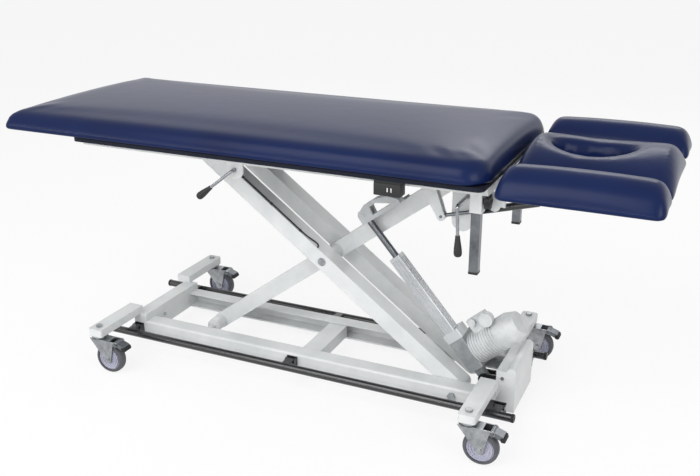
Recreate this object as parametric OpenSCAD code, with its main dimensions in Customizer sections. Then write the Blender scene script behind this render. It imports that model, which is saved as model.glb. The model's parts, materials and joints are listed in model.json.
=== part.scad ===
// Hi-lo treatment table: an electric scissor lift on four braked casters carries a long cushion
// and a three-piece head section with a face hole.
// X runs along the table towards the head end, Y across it, Z up from the floor.

/* [Table] */
// Width over the cushions
table_w = 686; // [660:1:720]
// Length of the main cushion
main_len = 1515; // [1490:1:1540]
// Thickness of the main cushion
cushion_h = 67; // [50:0.5:80]
// Corner radius of the main cushion in plan, at its head end
cushion_corner = 82; // [40:1:95]
// Corner radius of the main cushion in plan, at its foot end
foot_corner = 16; // [12:1:60]
// Rise of the main cushion's crown
cushion_crown = 7; // [2:0.5:14]
// How far the long sides of a cushion are drawn in
side_draw = 4; // [0:0.5:8]
// Thickness of the plywood deck
board_t = 12; // [9:0.5:18]
// Inset of the deck from the cushion's long sides
board_inset = 10; // [8:1:40]
// Inset of the deck from the cushion's head end
board_head_inset = 7; // [6:1:12]

/* [Head section] */
// Gap between the main cushion and the head pads
head_gap = 18; // [18:0.5:24]
// Length of the head pads
head_len = 397; // [360:1:430]
// Width of the centre head pad
head_pad_w = 380; // [370:1:390]
// Gap between the centre pad and an arm pad
pad_gap = 0.6; // [0.4:0.1:4]
// Height of the centre pad's crown over its underside
head_crown_h = 93; // [70:1:100]
// Height of the centre pad at its long edges
head_edge_h = 15; // [10:1:40]
// Height of an arm pad's crown over its underside
arm_pad_h = 80; // [60:1:90]
// Height of an arm pad at its long edges
arm_edge_h = 30; // [20:1:50]
// Corner radius of the head and arm pads
pad_corner = 26; // [20:1:50]
// Height of the far armrest over the near one
far_raise = 10; // [0:1:10]
// Length of the face hole along the table
hole_len = 214; // [180:1:230]
// Width of the face hole across the table
hole_w = 124; // [100:1:140]
// Depth of the soft dish round the face hole
hole_dish = 7; // [2:0.5:12]

/* [Scissor lift] */
// Distance between the two end pivots of a scissor arm
arm_c = 1096; // [1080:1:1110]
// Angle of the arms over the floor at rest
rest_angle = 36.6; // [30:0.1:42]
// Place of the fixed pivots along the table
pivot_x = 432; // [425:1:438]
// Height of the lower pivots over the floor
axle_z = 75; // [72:0.5:80]
// Depth of a scissor arm
arm_h = 50; // [40:1:52]
// Width of an outer arm across the table
outer_arm_w = 58; // [50:1:58]
// Width of the inner arm across the table
inner_arm_w = 40; // [34:1:41]
// Diameter of the pivot bolts and axles
pin_d = 16; // [12:0.5:20]
// Distance of the rod pin beyond the centre pivot, along the inner arm
rod_pin_along = 171; // [165:1:180]
// Height of the rod pin over the inner arm's middle
rod_pin_up = 50; // [46:0.5:54]

/* [Rails] */
// Height of a base rail and of a top track
rail_h = 52; // [48:1:56]
// Width of a rail's flanges
rail_w = 50; // [44:1:56]
// Wall of a rail
rail_t = 5; // [3:0.5:7]
// Distance from the middle to a rail's open side
rail_in = 103; // [103:0.5:110]
// Head end of the base rails
rail_head_x = 560; // [555:1:565]
// Thickness of the foot cross member along the table
foot_member_w = 48; // [40:1:55]
// Place of the foot cross member's inner face
foot_member_x = -642; // [-650:1:-641]
// Width of the middle cross member
mid_member_w = 62; // [50:1:70]
// Place of the middle cross member
mid_member_x = -52; // [-70:1:-30]

/* [Outriggers and casters] */
// Height of a caster over the floor
caster_h = 124; // [120:0.5:130]
// Width of an outrigger
outrigger_w = 50; // [44:1:56]
// Thickness of an outrigger
outrigger_t = 25; // [20:1:30]
// Distance from the middle to a caster's stem
stem_y = 328; // [320:1:335]
// Place of the foot casters' stems
foot_stem_x = -690; // [-695:1:-685]
// Place of the head casters' stems
head_stem_x = 536; // [530:1:540]
// Diameter of a caster wheel
wheel_d = 100; // [80:1:102]
// Width of a caster wheel
wheel_w = 30; // [24:1:34]
// Trail of a caster wheel behind its stem
trail = 38; // [34:1:44]

/* [Foot bars] */
// Diameter of a foot bar
bar_d = 24; // [18:1:26]
// Distance from the middle to a foot bar
bar_y = 200; // [197:1:204]
// Height of a foot bar
bar_z = 77; // [74:1:80]
// Foot end of the foot bars
bar_foot_x = -800; // [-820:1:-780]
// Head end of the foot bars
bar_head_x = 630; // [615:1:640]

/* [Actuator] */
// Place of the actuator's foot along the table
act_foot_x = 496; // [490:1:500]
// Height of the actuator's foot
act_foot_z = 85; // [82:1:92]
// Distance of the actuator's tube from the middle
act_y = -22; // [-22.5:0.5:-21]
// Width of the square tube
act_tube_w = 38; // [34:1:38]
// Diameter of the push rod
act_rod_d = 20.6; // [16:0.2:22]
// Diameter of the motor
motor_d = 98; // [84:1:100]
// Length of the motor
motor_len = 163; // [140:1:168]

/* [Top frame] */
// Width of a side rail
side_rail_w = 25; // [20:1:30]
// Height of a side rail
side_rail_h = 22; // [18:1:26]
// Distance from the middle to a side rail's inner side
side_rail_in = 258; // [250:1:260]
// Side of the square armrest post
post_w = 25; // [20:1:28]
// Length of an armrest post under the deck
post_len = 256; // [240:1:270]
// Distance from the centre head pad's edge out to the middle of an armrest post
post_from_pad = 30; // [28:1:34]

/* [Levers] */
// Diameter of a lever's rod
lever_d = 9; // [7:0.5:12]
// Largest diameter of a lever's grip
grip_d = 22; // [18:1:26]

/* [Hidden] */
$fn = 48;
over = 1;
soft_gap = 0.3;
fit = 0.05;
slide_fit = 0.3;
corner_names = ["foot_near", "foot_far", "head_near", "head_far"];

// Levels and places worked out from the driving sizes
table_len = main_len + head_gap + head_len;
foot_x = -table_len / 2;
head_x = table_len / 2;
main_head_x = foot_x + main_len;
pads_x = main_head_x + head_gap;
top_z = axle_z + arm_c * sin(rest_angle);
roller_x = pivot_x - arm_c * cos(rest_angle);
deck_z = top_z + rail_h / 2;
main_z = deck_z + board_t + soft_gap;
rail_out = rail_in + rail_w;
rail_z = axle_z - rail_h / 2;
rail_inner_h = rail_h - 2 * rail_t;
roller_play = 1.5;
roller_d = rail_inner_h - 2 * roller_play;
outer_arm_out = rail_in - 2;
outer_arm_in = outer_arm_out - outer_arm_w;
inner_arm_y = 1;
bore_d = pin_d + 2 * fit;
hex_share = 1.6;
bolt_head_d = hex_share * pin_d;
bolt_head_h = 7;
washer_t = 1.5;
foot_member_z = caster_h;
rail_r = 1.6 * rail_t;
member_r = 3;

// A shape drawn in X and Z, run across the table from y0 to y1
module across(y0, y1) {
    translate([0, y1, 0]) rotate([90, 0, 0]) linear_extrude(y1 - y0) children();
}

// A shape drawn in Y and Z, run along the table from x0 to x1
module along(x0, x1) {
    translate([x0, 0, 0]) rotate([90, 0, 90]) linear_extrude(x1 - x0) children();
}

// A round bar across the table through the origin of its place
module bar_across(d, y0, y1) {
    translate([0, y1, 0]) rotate([90, 0, 0]) cylinder(h = y1 - y0, d = d);
}

// A round bar along the table
module bar_along(d, x0, x1) {
    translate([x0, 0, 0]) rotate([0, 90, 0]) cylinder(h = x1 - x0, d = d);
}

// Both sides of the table
module both_sides() {
    for (s = [0, 1]) mirror([0, s, 0]) children();
}

module near_side() {
    mirror([0, 1, 0]) children();
}

// A rectangle with round corners, its lower left corner at the origin
module round_rect(w, h, r) {
    translate([r, 0]) square([w - 2 * r, h]);
    translate([0, r]) square([w, h - 2 * r]);
    for (x = [r, w - r], y = [r, h - r]) translate([x, y]) circle(r);
}

// A hexagonal bolt head or nut across the table, from y0 outwards
module hex_across(d, y0, y1) {
    translate([0, y1, 0]) rotate([90, 0, 0]) cylinder(h = y1 - y0, d = d, $fn = 6);
}

// The section of a rail: open towards the middle, with round corners at its web
module channel() {
    difference() {
        union() {
            square([rail_w - rail_r, rail_h]);
            translate([0, rail_r]) square([rail_w, rail_h - 2 * rail_r]);
            for (z = [rail_r, rail_h - rail_r]) translate([rail_w - rail_r, z]) circle(rail_r);
        }
        translate([-over, rail_t]) square([rail_w - rail_t + over, rail_inner_h]);
    }
}

// A bar with round ends between two pivots, run across the table
module link(length, depth, y0, y1) {
    across(y0, y1) {
        translate([0, -depth / 2]) square([length, depth]);
        for (x = [0, length]) translate([x, 0]) circle(d = depth);
    }
}

// The frame of an outer arm: origin at its lower pivot, X up along the arm, Z on its upper side
module on_outer_arm() {
    translate([pivot_x, 0, axle_z]) rotate([0, rest_angle, 0]) mirror([1, 0, 0]) children();
}

// The frame of the inner arm: origin at its lower axle, X up along the arm, Z on its upper side
module on_inner_arm() {
    translate([roller_x, 0, axle_z]) rotate([0, -rest_angle, 0]) children();
}

// The rod pin in the table's frame, and the line from it down to the actuator's foot
pin_x = roller_x + (arm_c / 2 + rod_pin_along) * cos(rest_angle) - rod_pin_up * sin(rest_angle);
pin_z = axle_z + (arm_c / 2 + rod_pin_along) * sin(rest_angle) + rod_pin_up * cos(rest_angle);
act_len = norm([act_foot_x - pin_x, act_foot_z - pin_z]);
act_angle = atan2(pin_z - act_foot_z, act_foot_x - pin_x);

// The frame of the actuator: origin at the rod pin, X down along the rod, Z on its upper side
module on_actuator() {
    translate([pin_x, 0, pin_z]) rotate([0, act_angle, 0]) children();
}

// Base rails, with a hole for each lower pivot bolt
module base_rails() {
    color("#d8dada") both_sides() difference() {
        along(foot_member_x, rail_head_x) translate([rail_in, rail_z]) channel();
        translate([pivot_x, 0, axle_z]) bar_across(bore_d, rail_out - rail_t - over, rail_out + over);
    }
}

// Foot and middle cross members, and the plates that carry the head outriggers
mid_member_drop = 12;
mid_member_h = rail_h - mid_member_drop;
saddle_t = 16;
outrigger_in = rail_out - saddle_t;
module base_cross_members() {
    color("#d3d5d5") {
        along(foot_member_x - foot_member_w, foot_member_x)
            translate([-rail_out, rail_z]) round_rect(2 * rail_out, foot_member_z - rail_z, member_r);
        translate([mid_member_x - mid_member_w / 2, -rail_in, rail_z + rail_t])
            cube([mid_member_w, 2 * rail_in, mid_member_h]);
        both_sides() translate([head_stem_x - outrigger_w / 2, outrigger_in, rail_z + rail_h])
            cube([rail_head_x - head_stem_x + outrigger_w / 2, saddle_t - rail_r,
                  caster_h - rail_z - rail_h]);
    }
}

// Head cross beam: a folded sheet with a rolled top and two end plates, open towards the foot
beam_x = 604;
beam_back_x = 547;
beam_top_z = 174;
beam_foot_z = 34;
beam_lip_z = 116;
beam_roll_r = 14;
beam_screw_in = 18;
beam_t = 4;
module beam_profile(inset) {
    r = beam_roll_r - inset;
    cx = beam_x - beam_roll_r;
    cz = beam_top_z - beam_roll_r;
    translate([cx, cz]) circle(r);
    translate([cx, beam_foot_z - (inset > 0 ? over : 0)]) square([r, cz - beam_foot_z + over]);
    translate([beam_back_x - (inset > 0 ? over : 0), beam_foot_z - (inset > 0 ? over : 0)])
        square([cx - beam_back_x + over, cz - beam_foot_z - (inset > 0 ? inset : 0)]);
}
module head_cross_beam() {
    color("#cfd1d1") difference() {
        across(-rail_in, rail_in) difference() {
            beam_profile(0);
            translate([beam_back_x - beam_roll_r, beam_foot_z - over])
                square([beam_roll_r, beam_top_z]);
        }
        across(-rail_in + beam_t, rail_in - beam_t) beam_profile(beam_t);
        across(-rail_in + beam_t, rail_in - beam_t)
            translate([beam_back_x - over, beam_foot_z - over])
                square([beam_t + 2 * over, beam_lip_z - beam_foot_z]);
    }
}

// Outriggers with rounded corners, bored for the caster stems
stem_d = 12;
outrigger_r = 9;
module outrigger() {
    difference() {
        translate([-outrigger_w / 2, outrigger_in, caster_h]) linear_extrude(outrigger_t) {
            square([outrigger_w, 2 * outrigger_r]);
            round_rect(outrigger_w, stem_y - outrigger_in + outrigger_w / 2, outrigger_r);
        }
        translate([0, stem_y, caster_h - over]) cylinder(h = outrigger_t + 2 * over, d = stem_d + 2 * fit);
    }
}
module caster_outriggers() {
    color("#dddfdf") both_sides() for (x = [foot_stem_x, head_stem_x]) translate([x, 0, 0]) outrigger();
}

// Bolts of the base: lower pivots with their spacer bushes, stem nuts and frame screws
stem_nut_d = 21;
stem_nut_h = 7;
screw_d = 11;
screw_h = 4;
foot_screw_ys = [-104, -52];
module base_bolts() {
    color("#8d9092") {
        both_sides() translate([pivot_x, 0, axle_z]) {
            bar_across(pin_d, outer_arm_in + washer_t, rail_out);
            hex_across(bolt_head_d, rail_out, rail_out + bolt_head_h);
            bar_across(bolt_head_d, outer_arm_out + washer_t / 2, rail_out - rail_t);
        }
        both_sides() for (x = [foot_stem_x, head_stem_x])
            translate([x, stem_y, caster_h + outrigger_t])
                cylinder(h = stem_nut_h, d = stem_nut_d, $fn = 6);
        for (y = foot_screw_ys) translate([foot_member_x, y, axle_z + screw_d])
            bar_along(screw_d, 0, screw_h);
        both_sides() translate([beam_back_x + beam_screw_in, rail_in, beam_top_z - 2 * beam_screw_in])
            bar_across(screw_d, 0, screw_h / 2);
    }
}

// Foot bar brackets on the rails: two ears and a pin for each lug of a bar
bar_pivot_y = 166;
bar_pivot_z = 82;
bar_lug_w = 26;
bar_ear_t = 4;
bar_pin_d = 6;
bar_lug_gap = 0.5;
bar_plate_t = 4;
bar_bracket_xs = [-670, -88, 577];
bar_ear_r = 8;
function bar_plate_x(i) =
    i == 2 ? rail_head_x - outrigger_w : bar_bracket_xs[i] - bar_lug_w / 2 - bar_ear_t;
module foot_bar_brackets() {
    color("#232427") both_sides() for (i = [0 : 2]) {
        x = bar_bracket_xs[i];
        half = bar_lug_w / 2 + bar_lug_gap;
        translate([bar_plate_x(i), rail_out, rail_z + rail_r])
            cube([x + half + bar_ear_t - bar_plate_x(i), bar_plate_t, rail_h - 2 * rail_r]);
        for (e = [x - half - bar_ear_t, x + half]) along(e, e + bar_ear_t) {
            translate([rail_out, bar_pivot_z - bar_ear_r])
                square([bar_pivot_y - rail_out, 2 * bar_ear_r]);
            translate([bar_pivot_y, bar_pivot_z]) circle(bar_ear_r);
        }
        translate([0, bar_pivot_y, bar_pivot_z])
            bar_along(bar_pin_d, x - half - bar_ear_t, x + half + bar_ear_t);
    }
}

// A foot bar: a long tube with end caps and three lugs that rock on the bracket pins
bar_cap_t = 3;
module foot_bar() {
    color("#1f2023") difference() {
        union() {
            translate([0, bar_y, bar_z]) {
                bar_along(bar_d, bar_foot_x + bar_cap_t, bar_head_x - bar_cap_t);
                bar_along(bar_d - bar_cap_t, bar_foot_x, bar_head_x);
            }
            for (x = bar_bracket_xs) along(x - bar_lug_w / 2, x + bar_lug_w / 2) {
                translate([bar_pivot_y, bar_pivot_z]) circle(d = 2 * bar_ear_r);
                polygon([[bar_pivot_y, bar_pivot_z + bar_ear_r], [bar_y, bar_z + bar_d / 2],
                         [bar_y, bar_z - bar_d / 2], [bar_pivot_y, bar_pivot_z - bar_ear_r]]);
            }
        }
        translate([0, bar_pivot_y, bar_pivot_z])
            bar_along(bar_pin_d + 2 * fit, bar_foot_x, bar_head_x);
    }
}
module near_foot_bar() {
    near_side() foot_bar();
}
module far_foot_bar() {
    foot_bar();
}

// Actuator mount: two black cheeks from the head beam, with a bolt stub in each
lug_w = 20;
lug_r = 14;
mount_t = 6;
mount_gap = 2;
mount_r = 20;
mount_top_z = 112;
mount_foot_z = 58;
mount_bolt_d = 12;
module actuator_mount() {
    color("#1d1e20") translate([0, act_y, 0]) for (s = [0, 1]) mirror([0, s, 0]) {
        y0 = lug_w / 2 + mount_gap;
        across(y0, y0 + mount_t) {
            translate([act_foot_x, act_foot_z]) circle(mount_r);
            polygon([[act_foot_x, act_foot_z + mount_r], [beam_x - beam_t, mount_top_z],
                     [beam_x - beam_t, mount_foot_z], [act_foot_x, act_foot_z - mount_r]]);
        }
        translate([act_foot_x, 0, act_foot_z])
            hex_across(hex_share * mount_bolt_d, y0 + mount_t, y0 + mount_t + mount_bolt_d / 2);
    }
}

// Casters: the origin of each is under its stem, on the floor
wheel_r = wheel_d / 2;
race_d = 44;
race_h = 10;
crown_d = 52;
crown_t = 4;
crown_z = caster_h - race_h - crown_t;
leg_t = 3;
leg_gap = 2;
leg_y = wheel_w / 2 + leg_gap;
axle_d = 8;
pedal_pin_x = 70;
pedal_pin_z = 107;
pedal_pin_d = 7;
pedal_reach = 104;
leg_foot_r = 13;
leg_ear_r = 8;
module at_caster(i) {
    translate([i < 2 ? foot_stem_x : head_stem_x, (i % 2 == 0 ? -1 : 1) * stem_y, 0]) children();
}
module caster_fork() {
    color("#b9bcbe") {
        translate([0, 0, caster_h - race_h]) cylinder(h = race_h - crown_t, d1 = race_d, d2 = crown_d);
        translate([0, 0, caster_h - crown_t]) cylinder(h = crown_t, d = crown_d);
        translate([0, 0, crown_z]) linear_extrude(crown_t) {
            circle(d = crown_d);
            translate([0, -leg_y - leg_t]) square([pedal_pin_x - crown_d / 2, 2 * leg_y + 2 * leg_t]);
        }
        translate([0, 0, caster_h]) cylinder(h = outrigger_t, d = stem_d);
        for (s = [0, 1]) mirror([0, s, 0]) difference() {
            across(leg_y, leg_y + leg_t) {
                polygon([[-crown_d / 2, crown_z + crown_t], [trail - leg_foot_r, wheel_r],
                         [trail + leg_foot_r, wheel_r], [pedal_pin_x - leg_ear_r, crown_z - leg_ear_r],
                         [pedal_pin_x, pedal_pin_z - leg_ear_r], [pedal_pin_x, crown_z + crown_t]]);
                translate([trail, wheel_r]) circle(leg_foot_r);
                translate([pedal_pin_x, pedal_pin_z]) circle(leg_ear_r);
            }
            translate([pedal_pin_x, 0, pedal_pin_z])
                bar_across(pedal_pin_d + 2 * fit, leg_y - over, leg_y + leg_t + over);
        }
        translate([trail, 0, wheel_r]) {
            bar_across(axle_d, -leg_y - leg_t, leg_y + leg_t);
            both_sides() hex_across(hex_share * axle_d, leg_y + leg_t, leg_y + leg_t + axle_d / 2);
        }
    }
}
hub_r = wheel_r - 11;
tyre_crown = 2.5;
module tyre() {
    color("#4a4c50") translate([trail, 0, wheel_r]) rotate([90, 0, 0]) rotate_extrude()
        polygon([[hub_r, -wheel_w / 2], [wheel_r - 2 * tyre_crown, -wheel_w / 2],
                 [wheel_r - tyre_crown / 2, -wheel_w / 3], [wheel_r, -wheel_w / 6],
                 [wheel_r, wheel_w / 6], [wheel_r - tyre_crown / 2, wheel_w / 3],
                 [wheel_r - 2 * tyre_crown, wheel_w / 2], [hub_r, wheel_w / 2]]);
}
hub_boss_r = 10;
hub_ring_shares = [0.45, 0.66, 0.86];
hub_dish = 4;
hub_ring_w = 4;
hub_ring_drop = 1;
module hub() {
    color("#a9a9bd") translate([trail, 0, wheel_r]) difference() {
        union() {
            bar_across(2 * hub_r, -wheel_w / 2 + hub_dish, wheel_w / 2 - hub_dish);
            bar_across(2 * hub_boss_r, -leg_y + fit, leg_y - fit);
            for (s = hub_ring_shares) difference() {
                bar_across(2 * s * hub_r + hub_ring_w / 2, -wheel_w / 2 + hub_ring_drop,
                           wheel_w / 2 - hub_ring_drop);
                bar_across(2 * s * hub_r - hub_ring_w / 2, -wheel_w / 2, wheel_w / 2);
            }
        }
        bar_across(axle_d + 2 * fit, -wheel_w, wheel_w);
    }
}
pedal_t = 4;
pedal_gap = 1;
pedal_half = leg_y - pedal_gap;
pad_drop = 18;
module brake_pedal() {
    color("#6d7073") {
        across(-pedal_half, pedal_half) {
            translate([pedal_pin_x, pedal_pin_z]) circle(leg_ear_r - pedal_gap);
            polygon([[pedal_pin_x - pedal_t, pedal_pin_z + leg_ear_r - pedal_gap],
                     [pedal_reach - pedal_t, pedal_pin_z - pedal_t],
                     [pedal_reach, pedal_pin_z - pad_drop],
                     [pedal_reach - 2 * pedal_t, pedal_pin_z - pad_drop],
                     [pedal_pin_x, pedal_pin_z - leg_ear_r + pedal_gap]]);
        }
        translate([pedal_pin_x, 0, pedal_pin_z]) {
            bar_across(pedal_pin_d, -leg_y - leg_t - pedal_t / 2, leg_y + leg_t + pedal_t / 2);
            both_sides() hex_across(hex_share * pedal_pin_d, leg_y + leg_t + fit, leg_y + leg_t + pedal_t);
        }
    }
}

// Outer arms of the scissor, one on each side of the inner arm
module outer_arm() {
    difference() {
        on_outer_arm() link(arm_c, arm_h, outer_arm_in, outer_arm_out);
        on_outer_arm() for (x = [0, arm_c / 2, arm_c]) translate([x, 0, 0])
            bar_across(bore_d, outer_arm_in - over, outer_arm_out + over);
    }
}
module near_outer_arm() {
    color("#d9dbdb") near_side() outer_arm();
}
module far_outer_arm() {
    color("#d9dbdb") outer_arm();
}

// Shafts of the outer arms: the roller axle in its cross tube, and the centre pivot
cross_tube_d = 46;
axle_gap = 4;
axle_out = rail_out - rail_t - axle_gap;
module arm_shafts() {
    color("#a3a6a8") on_outer_arm() {
        translate([arm_c, 0, 0]) {
            bar_across(pin_d, -axle_out, axle_out);
            bar_across(cross_tube_d, -outer_arm_in, outer_arm_in);
        }
        translate([arm_c / 2, 0, 0]) {
            bar_across(pin_d, -outer_arm_out, outer_arm_out);
            both_sides() bar_across(bolt_head_d, outer_arm_out, outer_arm_out + washer_t);
        }
    }
}

// The cable clipped along the near outer arm's upper edge, from the arm's upper end to the centre
cable_d = 5;
cable_sides = 8;
cable_route = [[586, -96, 25], [586, -96, 29], [590, -96, 33], [600, -96, 34], [640, -96, 28.5],
               [700, -96, 28.2], [760, -96, 28.2], [820, -96, 28.2], [880, -96, 28.2],
               [940, -96, 28.2], [1000, -96, 28.5], [1040, -95, 34], [1050, -94, 33],
               [1054, -94, 29], [1054, -94, 25]];
function unit(v) = v / norm(v);
function tangent(p, i) = unit(p[min(i + 1, len(p) - 1)] - p[max(i - 1, 0)]);
// A tube of flat-sided rings along the points p, capped at both ends
module tube_along(p, d, n) {
    rings = [for (i = [0 : len(p) - 1]) let (
        t = i == 0 ? [0, 0, 1] : i == len(p) - 1 ? [0, 0, 1] * -1 : tangent(p, i),
        a = [0, 1, 0], b = unit(cross(t, a)))
        for (k = [0 : n - 1]) p[i] + d / 2 * (cos(360 * k / n) * a + sin(360 * k / n) * b)];
    last = (len(p) - 1) * n;
    polyhedron(rings, concat(
        [for (k = [1 : n - 2]) [0, k, k + 1]],
        [for (k = [1 : n - 2]) [last, last + k + 1, last + k]],
        [for (i = [0 : len(p) - 2], k = [0 : n - 1]) let (a = i * n + k, b = i * n + (k + 1) % n)
            each [[a, a + n, b + n], [a, b + n, b]]]));
}
module arm_cable() {
    color("#1b1c1e") on_outer_arm() tube_along(cable_route, cable_d, cable_sides);
}

// Inner arm of the scissor, with a spacer boss at the centre pivot
module inner_arm() {
    y1 = inner_arm_y + inner_arm_w;
    color("#d5d7d7") difference() {
        on_inner_arm() {
            link(arm_c, arm_h, inner_arm_y, y1);
            translate([arm_c / 2, 0, 0]) {
                bar_across(cross_tube_d, -outer_arm_in + fit, inner_arm_y);
                bar_across(cross_tube_d, y1, outer_arm_in - fit);
            }
        }
        on_inner_arm() for (x = [0, arm_c / 2, arm_c]) translate([x, 0, 0])
            bar_across(bore_d, -outer_arm_in - over, outer_arm_in + over);
    }
}

// Cross tubes of the inner arm: the lower one holds the roller axle, the upper one is bored
lower_sleeve_half = 44;
module inner_cross_tubes() {
    y1 = inner_arm_y + inner_arm_w;
    color("#c9cccc") on_inner_arm() {
        bar_across(pin_d, -axle_out, axle_out);
        bar_across(cross_tube_d, -lower_sleeve_half, inner_arm_y);
        bar_across(cross_tube_d, y1, lower_sleeve_half + over);
        translate([arm_c, 0, 0]) difference() {
            union() {
                bar_across(cross_tube_d, -outer_arm_out, inner_arm_y);
                bar_across(cross_tube_d, y1, outer_arm_out);
            }
            bar_across(bore_d, -outer_arm_out - over, outer_arm_out + over);
        }
    }
}

// Actuator bracket on the inner arm: two hooked cheeks on a foot plate, with the rod pin
rod_pin_d = 12;
hook_t = 6;
hook_gap = 1;
hook_r = 17;
hook_foot_t = 6;
hook_foot_x0 = 34;
hook_foot_x1 = 128;
hook_top = 26;
hook_bar = 13;
module hook_outline() {
    s = arm_h / 2 - rod_pin_up;
    difference() {
        union() {
            circle(hook_r);
            polygon([[-hook_r, 0], [-hook_r, s + hook_foot_t], [hook_foot_x0, s + hook_foot_t],
                     [hook_foot_x0 + hook_bar, s + hook_foot_t], [hook_foot_x1, s + hook_foot_t],
                     [hook_foot_x1, s + hook_bar], [hook_foot_x1 - 2 * hook_bar, hook_top - hook_bar],
                     [hook_foot_x0 + 2 * hook_bar, hook_top], [hook_foot_x0 - hook_bar, hook_top],
                     [0, hook_r]]);
            translate([-hook_r, s]) square([hook_foot_x1 + hook_r, hook_foot_t]);
        }
        polygon([[hook_r + hook_bar, s + hook_foot_t + hook_bar / 2],
                 [hook_foot_x1 - 2 * hook_bar, s + hook_foot_t + hook_bar / 2],
                 [hook_foot_x0 + 2 * hook_bar, hook_top - hook_bar],
                 [hook_foot_x0, hook_top - hook_bar]]);
    }
}
module actuator_bracket() {
    color("#c4c7c8") on_inner_arm() translate([arm_c / 2 + rod_pin_along, 0, rod_pin_up]) {
        for (s = [-1, 1]) {
            y = act_y + s * (lug_w / 2 + hook_gap + hook_t / 2);
            across(y - hook_t / 2, y + hook_t / 2) hook_outline();
        }
        foot_y = act_y + lug_w / 2 + hook_gap;
        translate([hook_foot_x0, foot_y, arm_h / 2 - rod_pin_up])
            cube([hook_foot_x1 - hook_foot_x0, inner_arm_y + inner_arm_w - foot_y, hook_foot_t]);
        translate([0, act_y, 0]) bar_across(rod_pin_d, -lug_w / 2 - hook_gap - hook_t - over,
                                            lug_w / 2 + hook_gap + hook_t + over);
    }
}

// Rollers on the two axles, in the rails below and in the tracks above
roller_groove = 2;
roller_w = 25;
roller_in = rail_in + 2 * washer_t;
roller_out = roller_in + roller_w;
module roller_pair() {
    both_sides() difference() {
        union() {
            bar_across(roller_d, roller_in, roller_out - roller_groove);
            bar_across(roller_d - 2 * roller_groove, roller_out - roller_groove, roller_out);
        }
        bar_across(bore_d, roller_in - over, roller_out + over);
    }
}
module upper_rollers() {
    color("#2b2c2e") translate([roller_x, 0, top_z]) roller_pair();
}
module lower_rollers() {
    color("#2b2c2e") translate([roller_x, 0, axle_z]) roller_pair();
}

// Actuator: rod with its eye, fluted square tube, collar and gearbox with its lug, motor
rod_len = 290;
eye_r = 15;
tube_x0 = 161;
tube_x1 = 432;
tube_bore_len = 250;
collar_x1 = 462;
collar_w = 58;
lug_neck = 37;
gearbox_x1 = act_len - lug_neck;
gearbox_w = 50;
flute_w = 5;
flute_depth = 1.5;
tube_r = 4;
module actuator_rod() {
    color("#8f9396") on_actuator() translate([0, act_y, 0]) difference() {
        union() {
            bar_along(act_rod_d, 0, rod_len);
            bar_across(2 * eye_r, -lug_w / 2, lug_w / 2);
        }
        bar_across(rod_pin_d + 2 * fit, -lug_w, lug_w);
    }
}
module fluted_square(w) {
    difference() {
        translate([-w / 2, -w / 2]) round_rect(w, w, tube_r);
        for (a = [0 : 90 : 270], k = [-1, 0, 1]) rotate(a)
            translate([k * 2 * flute_w - flute_w / 2, w / 2 - flute_depth]) square([flute_w, w]);
    }
}
module actuator_tube() {
    color("#c2c5c7") on_actuator() translate([0, act_y, 0]) difference() {
        union() {
            along(tube_x0, tube_x1) fluted_square(act_tube_w);
            along(tube_x0 - mount_t, tube_x0 + mount_t)
                translate([-act_tube_w / 2, -act_tube_w / 2]) round_rect(act_tube_w, act_tube_w, tube_r);
        }
        bar_along(act_rod_d + 2 * fit, tube_x0 - 2 * mount_t, tube_x0 + tube_bore_len);
    }
}
gearbox_gap = 2;
gearbox_y0 = outer_arm_in - gearbox_gap;
module actuator_gearbox() {
    color("#a9acae") on_actuator() {
        along(tube_x1, collar_x1) translate([-gearbox_y0, -collar_w / 2])
            round_rect(gearbox_y0 + act_tube_w / 2, collar_w, tube_r);
        along(collar_x1, gearbox_x1) translate([-gearbox_y0, -gearbox_w / 2])
            round_rect(2 * gearbox_y0, gearbox_w, tube_r);
    }
}
module actuator_lug() {
    color("#8b8e90") on_actuator() across(act_y - lug_w / 2, act_y + lug_w / 2) {
        translate([act_len, 0]) circle(lug_r);
        translate([gearbox_x1, -lug_r]) square([act_len - gearbox_x1, 2 * lug_r]);
    }
}
motor_x = 521;
motor_fins = 9;
fin_pitch = 9;
fin_depth = 3;
motor_rib_share = 0.58;
cap_d = 76;
cap_len = 30;
knob_d = 42;
knob_x = 455;
motor_knob_up = 122;
small_knob_d = 20;
small_knob_x = 443;
small_knob_up = 76;
knob_y0 = -42;
knob_t = 22;
module actuator_motor() {
    z0 = gearbox_w / 2;
    rib_len = motor_rib_share * motor_len;
    color("#cdd0d1") on_actuator() {
        translate([motor_x, 0, z0]) {
            cylinder(h = rib_len, d = motor_d - 2 * fin_depth);
            for (k = [0 : motor_fins]) translate([0, 0, k * fin_pitch])
                cylinder(h = fin_pitch / 2, d = motor_d);
            translate([0, 0, rib_len]) cylinder(h = motor_len - rib_len - cap_len, d = motor_d);
            translate([0, 0, motor_len - cap_len]) cylinder(h = cap_len, d1 = motor_d, d2 = cap_d);
        }
        translate([small_knob_x - small_knob_d / 2, knob_y0 + knob_t, small_knob_up - small_knob_d])
            cube([motor_x - motor_d / 2 - small_knob_x + small_knob_d, knob_t,
                  motor_knob_up - small_knob_up + small_knob_d]);
        translate([knob_x, 0, motor_knob_up]) bar_across(knob_d, knob_y0, knob_y0 + knob_t);
        translate([small_knob_x, 0, small_knob_up])
            bar_across(small_knob_d, knob_y0 + knob_t / 2, knob_y0 + knob_t);
    }
}

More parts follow.
